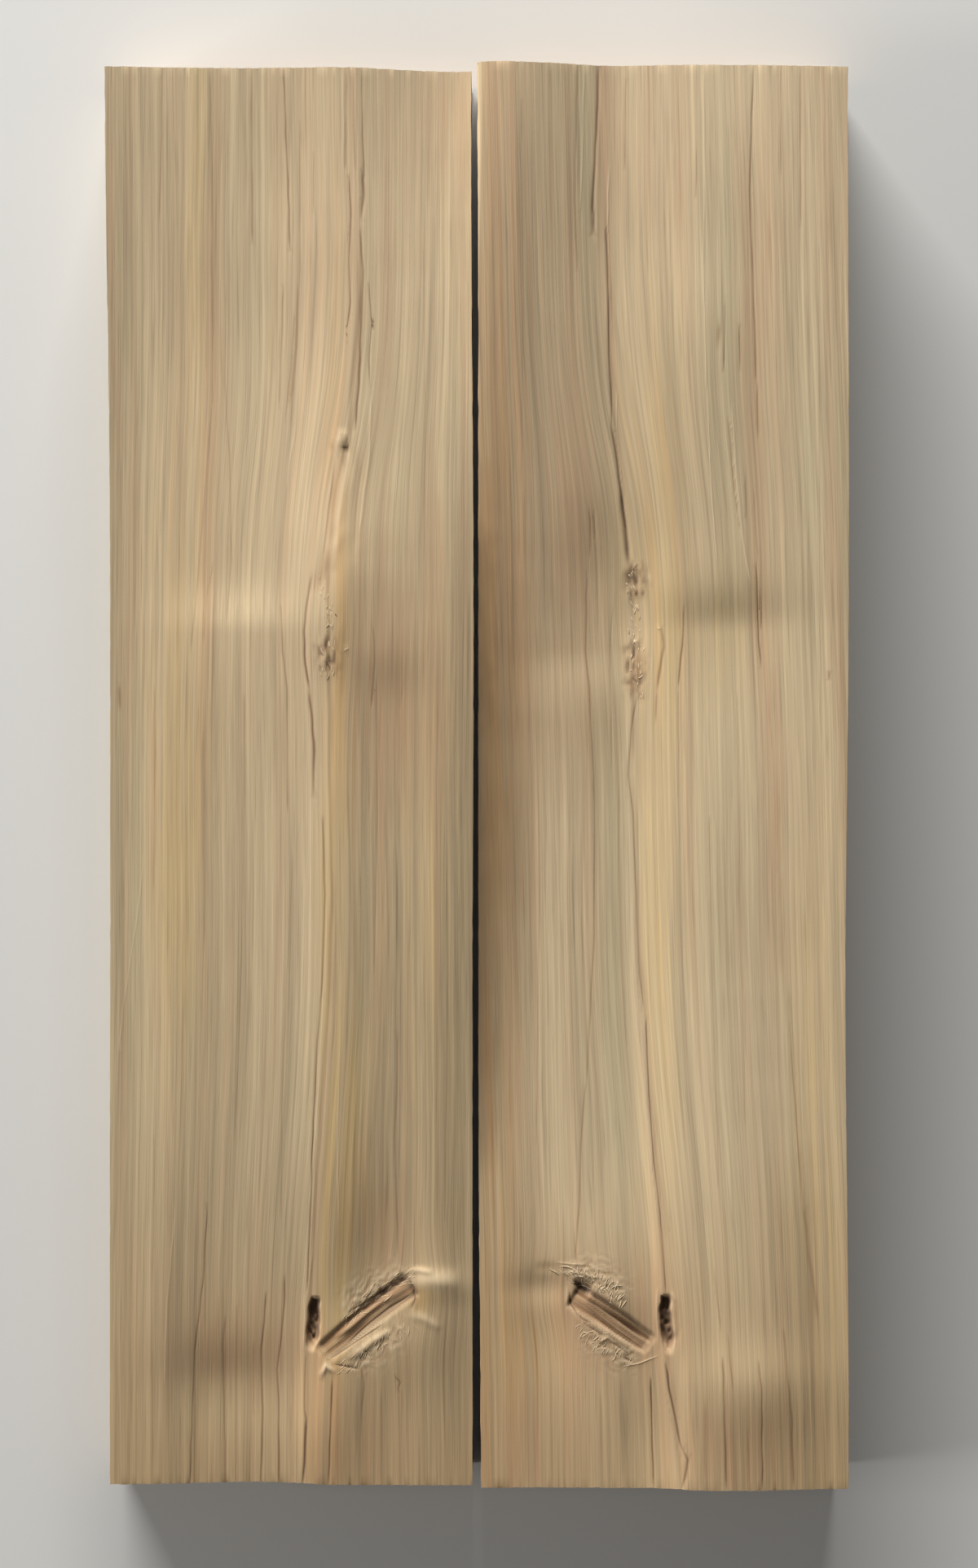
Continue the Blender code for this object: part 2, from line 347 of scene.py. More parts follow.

# %% [markdown]
# ## Cracks, veins and ribs
#
# Each mark on the wood is listed with its kind, half width, height in millimetres, strength
# and bends on the chart. A crack is a dark groove, a vein is a brown line, mostly a stained
# growth line, and a rib stands up and is pale. Random marks would look like any plank. These
# were read off the chart one by one, so the planks can be told from others. The widest are
# faint, slow patches, browner or paler, with no height. Three wide veins are painted shade:
# one beside a pale ridge high on the left plank, and two beside the fold of the right plank.

# %% Marks of the left plank
LEFT_MARKS = (
    ("vein", 0.9, 0.30, 0.50, ((199, 80), (198, 165), (196, 270))),
    ("vein", 0.9, 0.35, 0.45, ((258, 90), (261, 250), (261, 500))),
    ("vein", 0.8, 0.20, 0.30, ((261, 490), (252, 600), (244, 700), (234, 800))),
    ("vein", 1.1, 0.35, 0.55, ((309, 80), (309, 200), (310, 300))),
    ("crack", 1.1, 0.50, 0.55, ((348, 80), (351, 165), (355, 260), (356, 310))),
    ("vein", 0.7, 0.30, 0.45, ((368, 150), (368, 330), (364, 430), (356, 525))),
    ("vein", 1.5, 0.30, 0.40, ((366, 345), (363, 430), (357, 500))),
    ("vein", 0.9, 0.40, 0.50, ((348, 350), (346, 420), (342, 500))),
    ("vein", 0.8, 0.35, 0.40, ((362, 380), (357, 450), (350, 520))),
    ("vein", 0.7, 0.25, 0.35, ((278, 350), (276, 470), (282, 560), (284, 690), (278, 765))),
    ("vein", 0.7, 0.25, 0.35, ((262, 690), (254, 730), (250, 790))),
    ("vein", 0.7, 0.30, 0.40, ((385, 185), (385, 262))),
    ("rib", 1.2, 0.50, 0.45, ((362, 528), (357, 560), (352, 605))),
    ("crack", 0.9, 0.50, 0.45, ((444, 80), (445, 150), (447, 225))),
    ("crack", 1.6, 1.60, 0.75, ((446, 205), (446, 245), (443, 270))),
    ("vein", 1.0, 0.30, 0.40, ((426, 90), (425, 150), (424, 215))),
    ("vein", 0.9, 0.30, 0.35, ((434, 85), (434, 160), (436, 215))),
    ("rib", 1.2, 0.40, 0.35, ((421, 85), (422, 200), (425, 300))),
    ("rib", 1.0, 0.35, 0.30, ((439, 160), (440, 260), (441, 330))),
    ("crack", 0.9, 0.70, 0.50, ((428, 213), (431, 262), (428, 320), (430, 372), (425, 408))),
    ("crack", 1.2, 1.00, 0.60, ((442, 280), (446, 335), (443, 400), (441, 470), (436, 530))),
    ("crack", 0.8, 0.60, 0.45, ((453, 345), (456, 398), (453, 440), (454, 475))),
    ("crack", 1.9, 1.20, 0.85, ((455, 397), (459, 396))),
    ("crack", 1.5, 1.00, 0.85, ((424, 411), (427, 411))),
    ("vein", 1.6, 0.30, 0.50, ((443, 365), (442, 400))),
    ("crack", 3.0, 2.40, 0.90, ((420, 552), (429, 550))),
    ("rib", 2.2, 1.40, 0.35, ((411, 549), (419, 538), (431, 538))),
    ("vein", 2.0, 0.40, 0.55, ((412, 556), (408, 548), (414, 540))),
    ("vein", 1.2, 0.60, 0.60, ((412, 562), (405, 613), (398, 667), (395, 693))),
    ("rib", 4.5, 0.80, 0.25, ((424, 570), (416, 640), (409, 700))),
    # Painted shade: this wide vein sinks the wood a little, and its brown darkens the wood beside the pale
    # ridge to its right
    ("vein", 4.2, 0.60, 0.38, ((441, 550), (438, 620), (432, 690))),
    ("rib", 1.4, 0.50, 0.40, ((456, 487), (453, 560), (447, 610), (441, 655))),
    ("rib", 1.0, 0.40, 0.35, ((490, 550), (485, 615))),
    ("vein", 6.0, 0.60, 0.75, ((402, 670), (396, 700), (388, 730))),
    ("crack", 1.3, 1.30, 0.80, ((383, 705), (377, 740), (373, 775), (375, 815), (380, 850))),
    ("crack", 1.6, 1.20, 0.80, ((379, 845), (384, 890), (386, 930), (385, 975))),
    ("vein", 0.9, 0.40, 0.50, ((345, 740), (347, 800), (353, 845), (353, 1000))),
    ("vein", 1.2, 0.40, 0.55, ((458, 760), (460, 813), (455, 873))),
    ("vein", 0.8, 0.30, 0.35, ((455, 870), (453, 1000))),
    ("crack", 1.5, 1.20, 0.75, ((391, 795), (395, 806))),
    ("crack", 1.8, 1.50, 0.85, ((399, 811), (406, 823))),
    ("rib", 1.5, 1.20, 0.60, ((421, 799), (429, 795))),
    ("rib", 1.2, 1.00, 0.50, ((389, 812), (396, 820))),
    ("vein", 2.6, 0.50, 0.55, ((402, 690), (403, 740), (405, 780), (403, 812))),
    ("vein", 0.8, 0.30, 0.40, ((495, 840), (491, 872))),
    ("crack", 1.0, 0.60, 0.45, ((396, 1000), (399, 1100), (396, 1200), (388, 1300))),
    ("crack", 1.0, 0.90, 0.65, ((390, 1280), (384, 1400), (381, 1500), (377, 1585))),
    ("vein", 1.0, 0.35, 0.45, ((488, 1265), (487, 1340), (484, 1400), (489, 1540))),
    ("vein", 0.8, 0.30, 0.35, ((462, 830), (463, 1000), (459, 1200))),
    ("rib", 1.0, 0.30, 0.30, ((418, 1250), (414, 1400), (416, 1500))),
    ("vein", 0.8, 0.25, 0.30, ((190, 840), (190, 1000), (188, 1100))),
    ("rib", 1.2, 0.30, 0.40, ((176, 1060), (168, 1130), (152, 1230), (146, 1290))),
    ("vein", 1.6, 0.20, 0.45, ((147, 840), (148, 872))),
    ("crack", 1.0, 0.80, 0.80, ((408, 1690), (406, 1755), (403, 1826))),
    ("crack", 1.5, 1.40, 0.85, ((377, 1735), (374, 1790), (371, 1826))),
    ("vein", 1.2, 0.60, 0.55, ((376, 1655), (374, 1705), (374, 1745))),
    ("crack", 1.1, 0.60, 0.65,
     ((327, 1585), (325, 1622), (321, 1655), (321, 1692), (323, 1730), (320, 1826))),
    ("crack", 1.0, 0.50, 0.60,
     ((350, 1562), (349, 1605), (346, 1637), (340, 1682), (342, 1720), (343, 1826))),
    ("crack", 1.0, 0.40, 0.60,
     ((255, 1480), (250, 1567), (244, 1620), (239, 1658), (237, 1717), (233, 1826))),
    ("vein", 0.9, 0.35, 0.50, ((277, 1615), (274, 1655), (275, 1695), (277, 1826))),
    ("vein", 0.8, 0.30, 0.50, ((312, 1645), (311, 1735))),
    ("vein", 0.7, 0.25, 0.35, ((291, 1600), (289, 1826))),
    ("vein", 0.7, 0.25, 0.35, ((190, 1400), (186, 1600), (188, 1826))),
    ("rib", 1.0, 0.35, 0.35, ((216, 1480), (205, 1600), (202, 1700))),
    ("vein", 0.7, 0.25, 0.32, ((360, 1050), (352, 1200), (346, 1350), (345, 1500))),
    ("vein", 0.7, 0.20, 0.28, ((300, 850), (300, 1000), (296, 1200), (288, 1400))),
    ("vein", 0.7, 0.20, 0.25, ((250, 900), (252, 1100), (246, 1300))),
    ("vein", 0.7, 0.20, 0.25, ((520, 300), (522, 500), (520, 700))),
    ("vein", 0.7, 0.20, 0.25, ((548, 900), (550, 1200), (546, 1500))),
    ("rib", 1.3, 0.90, 0.55, ((375, 1588), (374, 1625), (373, 1660))),
    ("rib", 1.5, 0.60, 0.35, ((386, 1480), (384, 1530), (378, 1583))),

    # Wide faint patches, browner or paler, with no height
    ("vein", 60.0, 0.00, 0.32, ((500, 600), (495, 840), (495, 1040))),
    ("rib", 60.0, 0.00, 0.16, ((500, -120), (505, 250), (500, 460))),
)
print(len(LEFT_MARKS), "marks on the left plank")

# %% Marks of the right plank
RIGHT_MARKS = (
    ("vein", 1.0, 0.50, 0.50, ((709, 80), (706, 200), (706, 257), (709, 335))),
    ("crack", 1.4, 1.20, 0.75, ((735, 82), (733, 143), (729, 220), (727, 270))),
    ("crack", 1.9, 1.20, 0.75, ((728, 245), (728, 290))),
    ("rib", 1.3, 0.40, 0.35, ((717, 82), (715, 180), (712, 262))),
    ("rib", 1.2, 0.40, 0.40, ((747, 205), (746, 270), (748, 340), (752, 410))),
    ("vein", 0.8, 0.30, 0.40, ((768, 95), (767, 210))),
    ("crack", 1.0, 0.70, 0.65, ((743, 275), (746, 340), (747, 420), (751, 500), (751, 525))),
    ("crack", 1.4, 1.40, 0.75, ((750, 520), (758, 573), (765, 625), (769, 660))),
    ("crack", 2.1, 2.00, 0.80, ((762, 605), (768, 650), (772, 696))),
    ("rib", 0.8, 0.50, 0.45, ((757, 480), (757, 525), (764, 600))),
    ("crack", 1.0, 0.50, 0.55, ((925, 80), (923, 127), (920, 237), (924, 337), (928, 470))),
    ("vein", 0.9, 0.40, 0.50, ((929, 470), (930, 540))),
    ("vein", 0.9, 0.35, 0.50, ((982, 80), (982, 203), (983, 280))),
    ("vein", 0.7, 0.25, 0.35, ((958, 80), (958, 220))),
    ("crack", 0.8, 0.50, 0.55, ((890, 368), (889, 410), (888, 458))),
    ("vein", 2.0, 0.40, 0.50, ((884, 395), (881, 428))),
    ("crack", 0.8, 0.40, 0.50, ((907, 397), (908, 455))),
    ("rib", 1.1, 0.35, 0.45, ((863, 95), (865, 237), (863, 320), (867, 480))),
    ("rib", 1.0, 0.35, 0.60, ((868, 480), (873, 600), (880, 690))),
    ("vein", 0.7, 0.25, 0.40, ((855, 178), (854, 245))),
    ("rib", 1.5, 0.40, 0.65, ((898, 500), (905, 597), (914, 680), (922, 722))),
    ("vein", 1.0, 0.35, 0.45, ((893, 510), (901, 597), (909, 660))),
    ("vein", 0.8, 0.35, 0.45, ((915, 582), (916, 640))),
    ("vein", 0.8, 0.30, 0.40, ((925, 600), (930, 690))),
    ("crack", 0.9, 0.45, 0.60, ((928, 690), (930, 740), (931, 785), (934, 820))),
    ("crack", 0.8, 0.40, 0.50, ((934, 724), (935, 775))),
    ("vein", 1.2, 0.35, 0.45, ((723, 620), (725, 660), (724, 690))),
    ("vein", 0.8, 0.35, 0.45, ((729, 622), (730, 665))),
    ("vein", 1.2, 0.45, 0.55, ((720, 700), (720, 747), (719, 797), (723, 847), (727, 913), (730, 990))),
    ("vein", 0.9, 0.35, 0.40, ((730, 980), (729, 1150), (724, 1250), (720, 1330))),
    ("vein", 0.9, 0.35, 0.50, ((718, 1330), (713, 1400), (711, 1480), (705, 1548))),
    ("vein", 0.8, 0.30, 0.40, ((752, 745), (748, 800), (750, 870), (751, 945))),
    ("crack", 1.6, 0.80, 0.60, ((812, 768), (815, 795), (809, 830), (806, 850))),
    ("vein", 0.9, 0.40, 0.45, ((806, 845), (805, 890))),
    ("crack", 1.0, 0.50, 0.60, ((840, 742), (837, 797), (832, 845))),
    ("vein", 0.7, 0.30, 0.40, ((832, 843), (833, 975))),
    ("crack", 1.0, 0.60, 0.42,
     ((782, 856), (775, 897), (771, 950), (777, 1000), (781, 1100), (785, 1200), (792, 1245))),
    ("crack", 0.9, 0.70, 0.60,
     ((792, 1245), (797, 1350), (803, 1430), (810, 1490), (815, 1545), (817, 1590))),
    ("vein", 2.4, 0.20, 0.30, ((950, 813), (953, 980), (960, 1150), (968, 1250))),
    ("vein", 0.8, 0.25, 0.40, ((968, 1250), (985, 1480))),
    ("vein", 1.6, 0.30, 0.45, ((986, 1480), (992, 1530), (1004, 1620))),
    ("crack", 1.3, 1.50, 0.90, ((817, 1672), (821, 1705), (829, 1742), (836, 1778))),
    ("crack", 1.5, 1.70, 0.95, ((835, 1772), (844, 1792), (841, 1812), (836, 1828))),
    ("crack", 0.9, 1.00, 0.80, ((799, 1690), (800, 1762), (803, 1828))),
    ("vein", 4.5, 0.30, 0.40, ((826, 1690), (832, 1760), (836, 1828))),
    ("crack", 1.2, 0.60, 0.65, ((887, 1665), (888, 1712), (890, 1760), (892, 1828))),
    ("crack", 1.1, 0.60, 0.65, ((931, 1670), (935, 1705), (936, 1828))),
    ("vein", 1.1, 0.50, 0.60, ((962, 1630), (967, 1695), (972, 1742), (974, 1828))),
    ("vein", 2.2, 0.40, 0.55, ((867, 1715), (867, 1828))),
    ("vein", 0.8, 0.35, 0.45, ((893, 1635), (900, 1710))),
    ("vein", 0.8, 0.35, 0.50, ((918, 1755), (920, 1828))),
    ("vein", 0.8, 0.30, 0.35, ((876, 1555), (885, 1635))),
    ("vein", 0.7, 0.25, 0.30, ((870, 1000), (874, 1200), (882, 1450))),
    ("vein", 0.7, 0.20, 0.28, ((905, 850), (908, 1100), (915, 1400))),
    ("vein", 0.7, 0.20, 0.28, ((660, 850), (662, 1100), (658, 1400))),
    ("vein", 0.7, 0.20, 0.28, ((640, 120), (642, 380), (640, 600))),
    ("vein", 0.7, 0.20, 0.25, ((1005, 300), (1006, 700), (1010, 1100))),
    ("crack", 1.1, 0.60, 0.80, ((820, 1505), (823, 1506))),
    ("vein", 1.5, 0.30, 0.45, ((1018, 822), (1018, 836))),
    ("crack", 1.3, 1.40, 0.85, ((776, 697), (780, 704))),
    ("rib", 1.3, 1.10, 0.85, ((778, 693), (784, 700))),
    ("crack", 3.2, 1.70, 0.95, ((776, 700), (779, 712), (781, 722))),
    ("rib", 1.0, 0.90, 0.60, ((770, 705), (776, 708))),
    ("crack", 1.0, 1.00, 0.60, ((776, 722), (783, 731), (784, 738))),
    ("rib", 2.2, 0.30, 0.40, ((792, 706), (800, 715))),
    ("rib", 2.0, 0.40, 0.35, ((776, 790), (784, 787))),
    ("rib", 1.5, 0.90, 0.50, ((806, 770), (811, 772))),
    ("vein", 7.0, 0.40, 0.90, ((779, 786), (782, 822), (780, 866))),
    ("crack", 1.6, 1.20, 0.70, ((776, 832), (783, 840))),

    # Wide faint patches, browner or paler, with no height
    # Painted shade: these two brown veins darken the right plank beside the fold, where the left plank's
    # higher edge shades it
    ("vein", 32.0, 0.00, 0.30, ((606, 640), (606, 960), (606, 1200))),
    ("vein", 12.0, 0.00, 0.48, ((595, 560), (597, 960), (595, 1440))),
    ("vein", 60.0, 0.00, 0.34, ((680, 600), (680, 820), (685, 1010))),
    ("rib", 60.0, 0.00, 0.26, ((960, 1150), (965, 1320), (965, 1480))),
    ("rib", 60.0, 0.00, 0.20, ((960, -120), (960, 270))),
)
print(len(RIGHT_MARKS), "marks on the right plank")

# %% [markdown]
# ## Marks of the lower knot
#
# Here the split ran through a side branch. It lies open with its long ribs, sunk below a dark
# slot on its upper side, and a pocket of bark sits where it leaves the pith. Its lines run
# across the growth, so they come after the others. The strongest of the thin marks wins.

# %% Marks of the lower knot
LEFT_MARKS = LEFT_MARKS + (
    ("crack", 1.2, 1.80, 0.62, ((424, 1613), (452, 1596), (470, 1585), (486, 1573), (503, 1563))),
    ("crack", 2.2, 2.60, 0.95, ((465, 1587), (480, 1581))),
    ("crack", 1.9, 2.60, 0.95, ((481, 1579), (502, 1566))),
    ("rib", 2.1, 1.10, 0.30, ((411, 1642), (440, 1620), (470, 1598), (497, 1580))),
    ("vein", 1.1, 0.80, 0.60, ((405, 1640), (432, 1616), (462, 1597))),
    ("crack", 1.2, 1.80, 0.90, ((426, 1649), (455, 1623), (478, 1605), (503, 1590))),
    ("rib", 1.4, 0.60, 0.22, ((408, 1654), (440, 1632), (475, 1610), (500, 1598))),
    ("crack", 0.9, 1.20, 0.65, ((405, 1668), (438, 1646), (470, 1625))),
    ("rib", 3.2, 1.00, 0.75, ((427, 1669), (445, 1656), (478, 1632))),
    ("crack", 1.2, 1.50, 0.80, ((410, 1674), (425, 1677), (442, 1680))),
    ("crack", 1.5, 1.80, 0.85, ((501, 1568), (508, 1581), (509, 1594), (505, 1606))),
    ("rib", 6.5, 0.70, 0.55, ((500, 1570), (530, 1568), (566, 1570))),
    ("rib", 2.2, 0.60, 0.75, ((500, 1562), (512, 1559), (532, 1562))),
    ("rib", 4.0, 0.40, 0.40, ((500, 1612), (520, 1618), (540, 1632))),
    ("rib", 2.0, 0.80, 0.55, ((392, 1690), (400, 1676), (412, 1684))),
    ("vein", 1.2, 0.60, 0.45, ((442, 1672), (447, 1700), (444, 1740))),
    ("crack", 1.0, 0.60, 0.55, ((484, 1688), (491, 1697), (488, 1706))),
)
RIGHT_MARKS = RIGHT_MARKS + (
    ("crack", 6.5, 3.40, 1.00, ((704, 1576), (713, 1579), (726, 1585))),
    ("crack", 2.4, 2.80, 1.00, ((702, 1572), (716, 1578), (729, 1586))),
    ("crack", 1.2, 1.80, 0.80, ((699, 1584), (700, 1600), (710, 1617))),
    ("rib", 1.4, 0.70, 0.45, ((696, 1577), (696, 1592), (697, 1610))),
    ("rib", 1.8, 1.10, 0.30, ((712, 1586), (745, 1604), (785, 1630))),
    ("crack", 1.1, 1.50, 0.75, ((728, 1586), (752, 1602), (786, 1628))),
    ("crack", 1.5, 1.60, 0.85, ((716, 1593), (735, 1604), (762, 1622), (790, 1643))),
    ("rib", 1.0, 0.80, 0.40, ((718, 1601), (757, 1631), (796, 1660))),
    ("crack", 0.7, 0.90, 0.60, ((722, 1610), (757, 1637), (785, 1656))),
    ("rib", 1.0, 0.70, 0.30, ((712, 1607), (750, 1637), (783, 1662))),
    ("crack", 1.6, 1.30, 0.70, ((709, 1612), (716, 1619), (726, 1624))),
    ("crack", 1.0, 1.00, 0.55, ((712, 1622), (742, 1640), (775, 1664))),
    ("rib", 1.8, 1.40, 0.85, ((732, 1649), (746, 1642), (756, 1650))),
    ("rib", 1.0, 0.80, 0.70, ((764, 1677), (785, 1673), (808, 1664))),
    ("crack", 1.5, 1.40, 0.75, ((764, 1665), (776, 1671))),
    ("rib", 1.3, 0.70, 0.65, ((682, 1549), (700, 1551), (722, 1552))),
    ("rib", 1.5, 0.70, 0.60, ((698, 1560), (722, 1564), (745, 1572))),
    ("vein", 4.0, 0.40, 0.45, ((655, 1555), (672, 1555), (688, 1554))),
    ("vein", 2.0, 0.60, 0.55, ((830, 1600), (832, 1630), (829, 1656))),
    ("rib", 1.4, 0.80, 0.45, ((807, 1580), (806, 1620), (808, 1655))),
    ("rib", 1.4, 0.90, 0.60, ((824, 1585), (829, 1598))),
)
print(len(LEFT_MARKS) + len(RIGHT_MARKS), "marks in all")

# %% [markdown]
# ## Places of the knots and the pith
#
# The pith is the first thing that grew, a thread down the middle of the log. The whorl, the
# branch and the bark pocket sit on it. Each is a bent line too, carried from the chart to the
# wood once, so that the mesh, the splinters and the colours all use the same places.

# %% Places of the knots and the pith
LEFT["marks"] = [mark[:4] + (on_wood(LEFT, mark[4]),) for mark in LEFT_MARKS]
RIGHT["marks"] = [mark[:4] + (on_wood(RIGHT, mark[4]),) for mark in RIGHT_MARKS]
LEFT["pith"] = on_wood(LEFT, (
    (444, 285), (441, 400), (430, 520), (414, 600), (405, 700), (404, 800), (406, 840), (406, 900),
    (408, 1000), (409, 1100), (406, 1200), (400, 1300), (392, 1400), (386, 1500), (381, 1600),
    (379, 1690), (376, 1826)))
RIGHT["pith"] = on_wood(RIGHT, (
    (744, 250), (748, 330), (751, 450), (758, 560), (771, 650), (777, 720), (780, 830), (777, 900),
    (774, 950), (779, 1010), (783, 1100), (787, 1200), (795, 1260), (800, 1360), (807, 1450), (817, 1580),
    (822, 1680), (830, 1740), (838, 1826)))
LEFT["branch"] = on_wood(LEFT, ((392, 1664), (450, 1616), (505, 1574)))
RIGHT["branch"] = on_wood(RIGHT, ((800, 1652), (752, 1620), (702, 1588)))
LEFT["pocket"] = on_wood(LEFT, ((387, 1592), (386, 1622), (380, 1658)))
RIGHT["pocket"] = on_wood(RIGHT, ((816, 1589), (818, 1625), (821, 1662)))
LEFT["whorls"] = [on_wood(LEFT, ((397, 776), (402, 805), (404, 836)))]
RIGHT["whorls"] = [on_wood(RIGHT, ((777, 686), (782, 742))), on_wood(RIGHT, ((776, 780), (781, 862)))]
LEFT["frayed"] = on_wood(LEFT, ((418, 1612), (450, 1584), (500, 1556)))
RIGHT["frayed"] = on_wood(RIGHT, ((694, 1556), (735, 1562), (772, 1594)))
LEFT["curls"] = on_wood(LEFT, ((425, 1676), (455, 1662), (500, 1625)))
RIGHT["curls"] = on_wood(RIGHT, ((790, 1668), (760, 1664), (716, 1632)))
print("the left branch runs from", np.round(LEFT["branch"][0], 3), "to", np.round(LEFT["branch"][-1], 3))

# %% [markdown]
# ## What a mark does
#
# A mark only touches the points close to it, so we pick those out first. The look of a face
# is kept as sheets of numbers: its fine relief, and how dark, brown and pale it is. A thin
# mark would blur between the points of the mesh. So for the strongest thin mark near a point
# we keep the distance from its line, and the material draws the line sharply from that.


# %% Points near a mark
def around(x, y, line, reach):
    """Which points lie in the box round a line, widened by reach in metres."""
    low = line.min(axis=0) - reach
    high = line.max(axis=0) + reach
    return (x > low[0]) & (x < high[0]) & (y > low[1]) & (y < high[1])


def strengthen(look, sheet, where, amount):
    """Raises a sheet to amount where it was lower."""
    look[sheet][where] = np.maximum(look[sheet][where], amount)


# %% Thin and wide marks
TRUE_WIDTH = 0.62      # a mark looks wider on the chart than it is
THIN = 1.2             # half width in millimetres below which the material draws the line

# How dark and how brown each kind is, and how much of its height goes into the relief
THIN_LOOKS = {"crack": (0.70, 1.0, -0.25), "vein": (0.25, 1.15, -0.25), "rib": (-0.8, 0.0, 0.20)}


def draw_thin(look, where, kind, off, height, strength, shape):
    """Keeps the distance from the line, in half widths, and how dark and brown the line is there, up
    to four half widths away. A pale rib counts as less than dark."""
    weight = strength * np.clip((4.0 - np.abs(off)) / 1.5, 0.0, 1.0)
    claim = weight * bump(0.5 * off)
    closer = claim > look["nearest"][where]
    chosen = np.flatnonzero(where)[closer]
    dark, brown, lift = THIN_LOOKS[kind]
    look["nearest"].flat[chosen] = claim[closer]
    look["line_off"].flat[chosen] = off[closer]
    look["line_dark"].flat[chosen] = dark * weight[closer]
    look["line_brown"].flat[chosen] = brown * weight[closer]
    look["relief"][where] += lift * height * shape


def draw_wide(look, where, kind, off, height, strength, patchy, shape):
    """Raises or sinks the wood by a bell, and colours it pale, brown, or brown with a dark core. The brown
    of a few wide veins is painted shade.
    """
    if kind == "rib":
        look["relief"][where] += height * shape
        strengthen(look, "pale", where, strength * patchy * shape)
    elif kind == "vein":
        look["relief"][where] -= 0.5 * height * shape
        strengthen(look, "brown", where, strength * patchy * shape)
    else:
        look["relief"][where] -= 0.45 * height * shape
        strengthen(look, "brown", where, 0.8 * strength * shape)
        strengthen(look, "dark", where, strength ** 2 * patchy * bump(1.25 * off) * shape)


def draw_mark(look, x, y, mark, seed):
    """A bell across the line. The line wanders by up to 0.4 of its half width, its strength varies
    along it, and it fades at its ends."""
    kind, half_width, height, strength, line = mark
    where = around(x, y, line, 4.5 * half_width * MM)
    side, place = near(x[where], y[where], line)
    length = np.hypot(*np.diff(line, axis=0).T).sum() / MM
    half_width = TRUE_WIDTH * half_width
    along = y[where] / MM
    off = (side / MM + 0.40 * half_width * sway(along, 11.0, seed)) / half_width
    fade = min(0.3, (6.0 + 4.0 * half_width) / length)
    ends = lengthwise(place, fade, fade) ** 0.7
    patchy = 0.85 + 0.30 * sway(along, 19.0, seed + 1)
    if half_width < THIN:
        draw_thin(look, where, kind, off, height, strength * patchy * ends, bump(off) * ends)
    else:
        draw_wide(look, where, kind, off, height, strength, patchy, bump(off) * ends)


thin_count = sum(TRUE_WIDTH * mark[1] < THIN for mark in LEFT_MARKS + RIGHT_MARKS)
print(thin_count, "marks are thin enough for the material")

# %% [markdown]
# ## The pith and the knots
#
# The pith is a shallow orange-brown thread. The upper knot is a pitted whorl on it, where
# small twigs grew. Both are too uneven for bells alone, so waves break them up.


# %% Pith and whorl
PITH_GROOVE = 0.25
PITH_LIP = 0.10
WHORL_HALF_WIDTH = 5.0
PIT_HEIGHT = 0.32


def draw_pith(look, half, x, y):
    """A shallow groove with a wandering edge, and a pale lip beside it."""
    where = around(x, y, half["pith"], 0.012)
    side, place = near(x[where], y[where], half["pith"])
    along = y[where] / MM
    thread = side / MM + 0.7 * sway(along, 22.0, 21)
    shape = lengthwise(place, 0.05, 0.01)
    patchy = 0.7 + 0.4 * sway(along, 30.0, 22)
    lip = PITH_LIP * bump((thread + 3.4) / 1.6)
    look["relief"][where] += shape * (lip - PITH_GROOVE * bump(thread / 1.2))
    strengthen(look, "brown", where, 0.50 * bump(thread / 1.7) * shape * patchy)
    strengthen(look, "pale", where, 0.20 * bump((thread + 4.0) / 1.5) * shape)


def draw_whorl(look, half, x, y):
    """A patch of pits and bumps on the pith, brown in its hollows."""
    for line in half["whorls"]:
        where = around(x, y, line, 0.030)
        side, place = near(x[where], y[where], line)
        patch = bump(side / MM / WHORL_HALF_WIDTH) * lengthwise(place, 0.25, 0.25)
        pits = waves(x[where] / MM, y[where] / MM, 2.2, 5.0, 31)
        look["relief"][where] += patch * (0.15 + PIT_HEIGHT * pits)
        strengthen(look, "brown", where, patch * np.clip(0.70 - 0.60 * pits, 0.0, 1.0))
        strengthen(look, "dark", where, patch * np.clip(-0.25 - 1.9 * pits, 0.0, 0.8))


# %% [markdown]
# ## The open branch
#
# A side branch lies in the split like a peg in a groove, brown and finely ribbed along its own
# length. Here it is a share from 0 to 1 that says how much a point belongs to the branch. The
# mesh, the stains and the grain all read that share, so they can't drift apart.


# %% Branch
BRANCH_LENGTH = 86.0
BRANCH_SINK = 1.2
BRANCH_FIBRE = 0.35


def branch_body(half, x, y):
    """Share of the branch at each point, and its own two directions in millimetres: across it and
    along it. It is narrower at the pith."""
    side, place = near(x, y, half["branch"])
    width = 7.0 + 2.5 * place
    body = rise((width - np.abs(side / MM)) / 1.3) * lengthwise(place, 0.08, 0.03)
    return body, side / MM, place * BRANCH_LENGTH


def draw_branch(look, half, x, y):
    """The branch: sunk a little, brown, with fine fibres along it."""
    where = around(x, y, half["branch"], 0.020)
    body, lean, run = branch_body(half, x[where], y[where])
    fine = waves(lean, run, 2.6, 30.0, 41)
    look["relief"][where] += body * (BRANCH_FIBRE * fine - BRANCH_SINK)
    for sheet in ("pale", "brown", "dark"):
        look[sheet][where] *= 1.0 - 0.6 * body
    strengthen(look, "brown", where, body * (0.75 - 0.40 * fine + 0.20 * rise(lean * half["sign"] / 3.0)))
    strengthen(look, "dark", where, body * np.clip(-0.10 - 0.55 * fine, 0.0, 0.6))


# %% [markdown]
# ## Bark pocket and torn fibres
#
# The pocket is a narrow pit with a steep wall, nearly black, with crumbs of bark in its lower
# part. Round the branch the fibres tore into short pale curls. A curl is a wave laid askew:
# its rows bend with the distance from the branch.


# %% Pocket and torn fibres
POCKET_DEPTH = 3.2
POCKET_HALF_WIDTHS = (2.8, 4.0, 4.5, 2.2)
CRUMB_HEIGHT = 0.9
TORN_HALF_WIDTH = 7.5


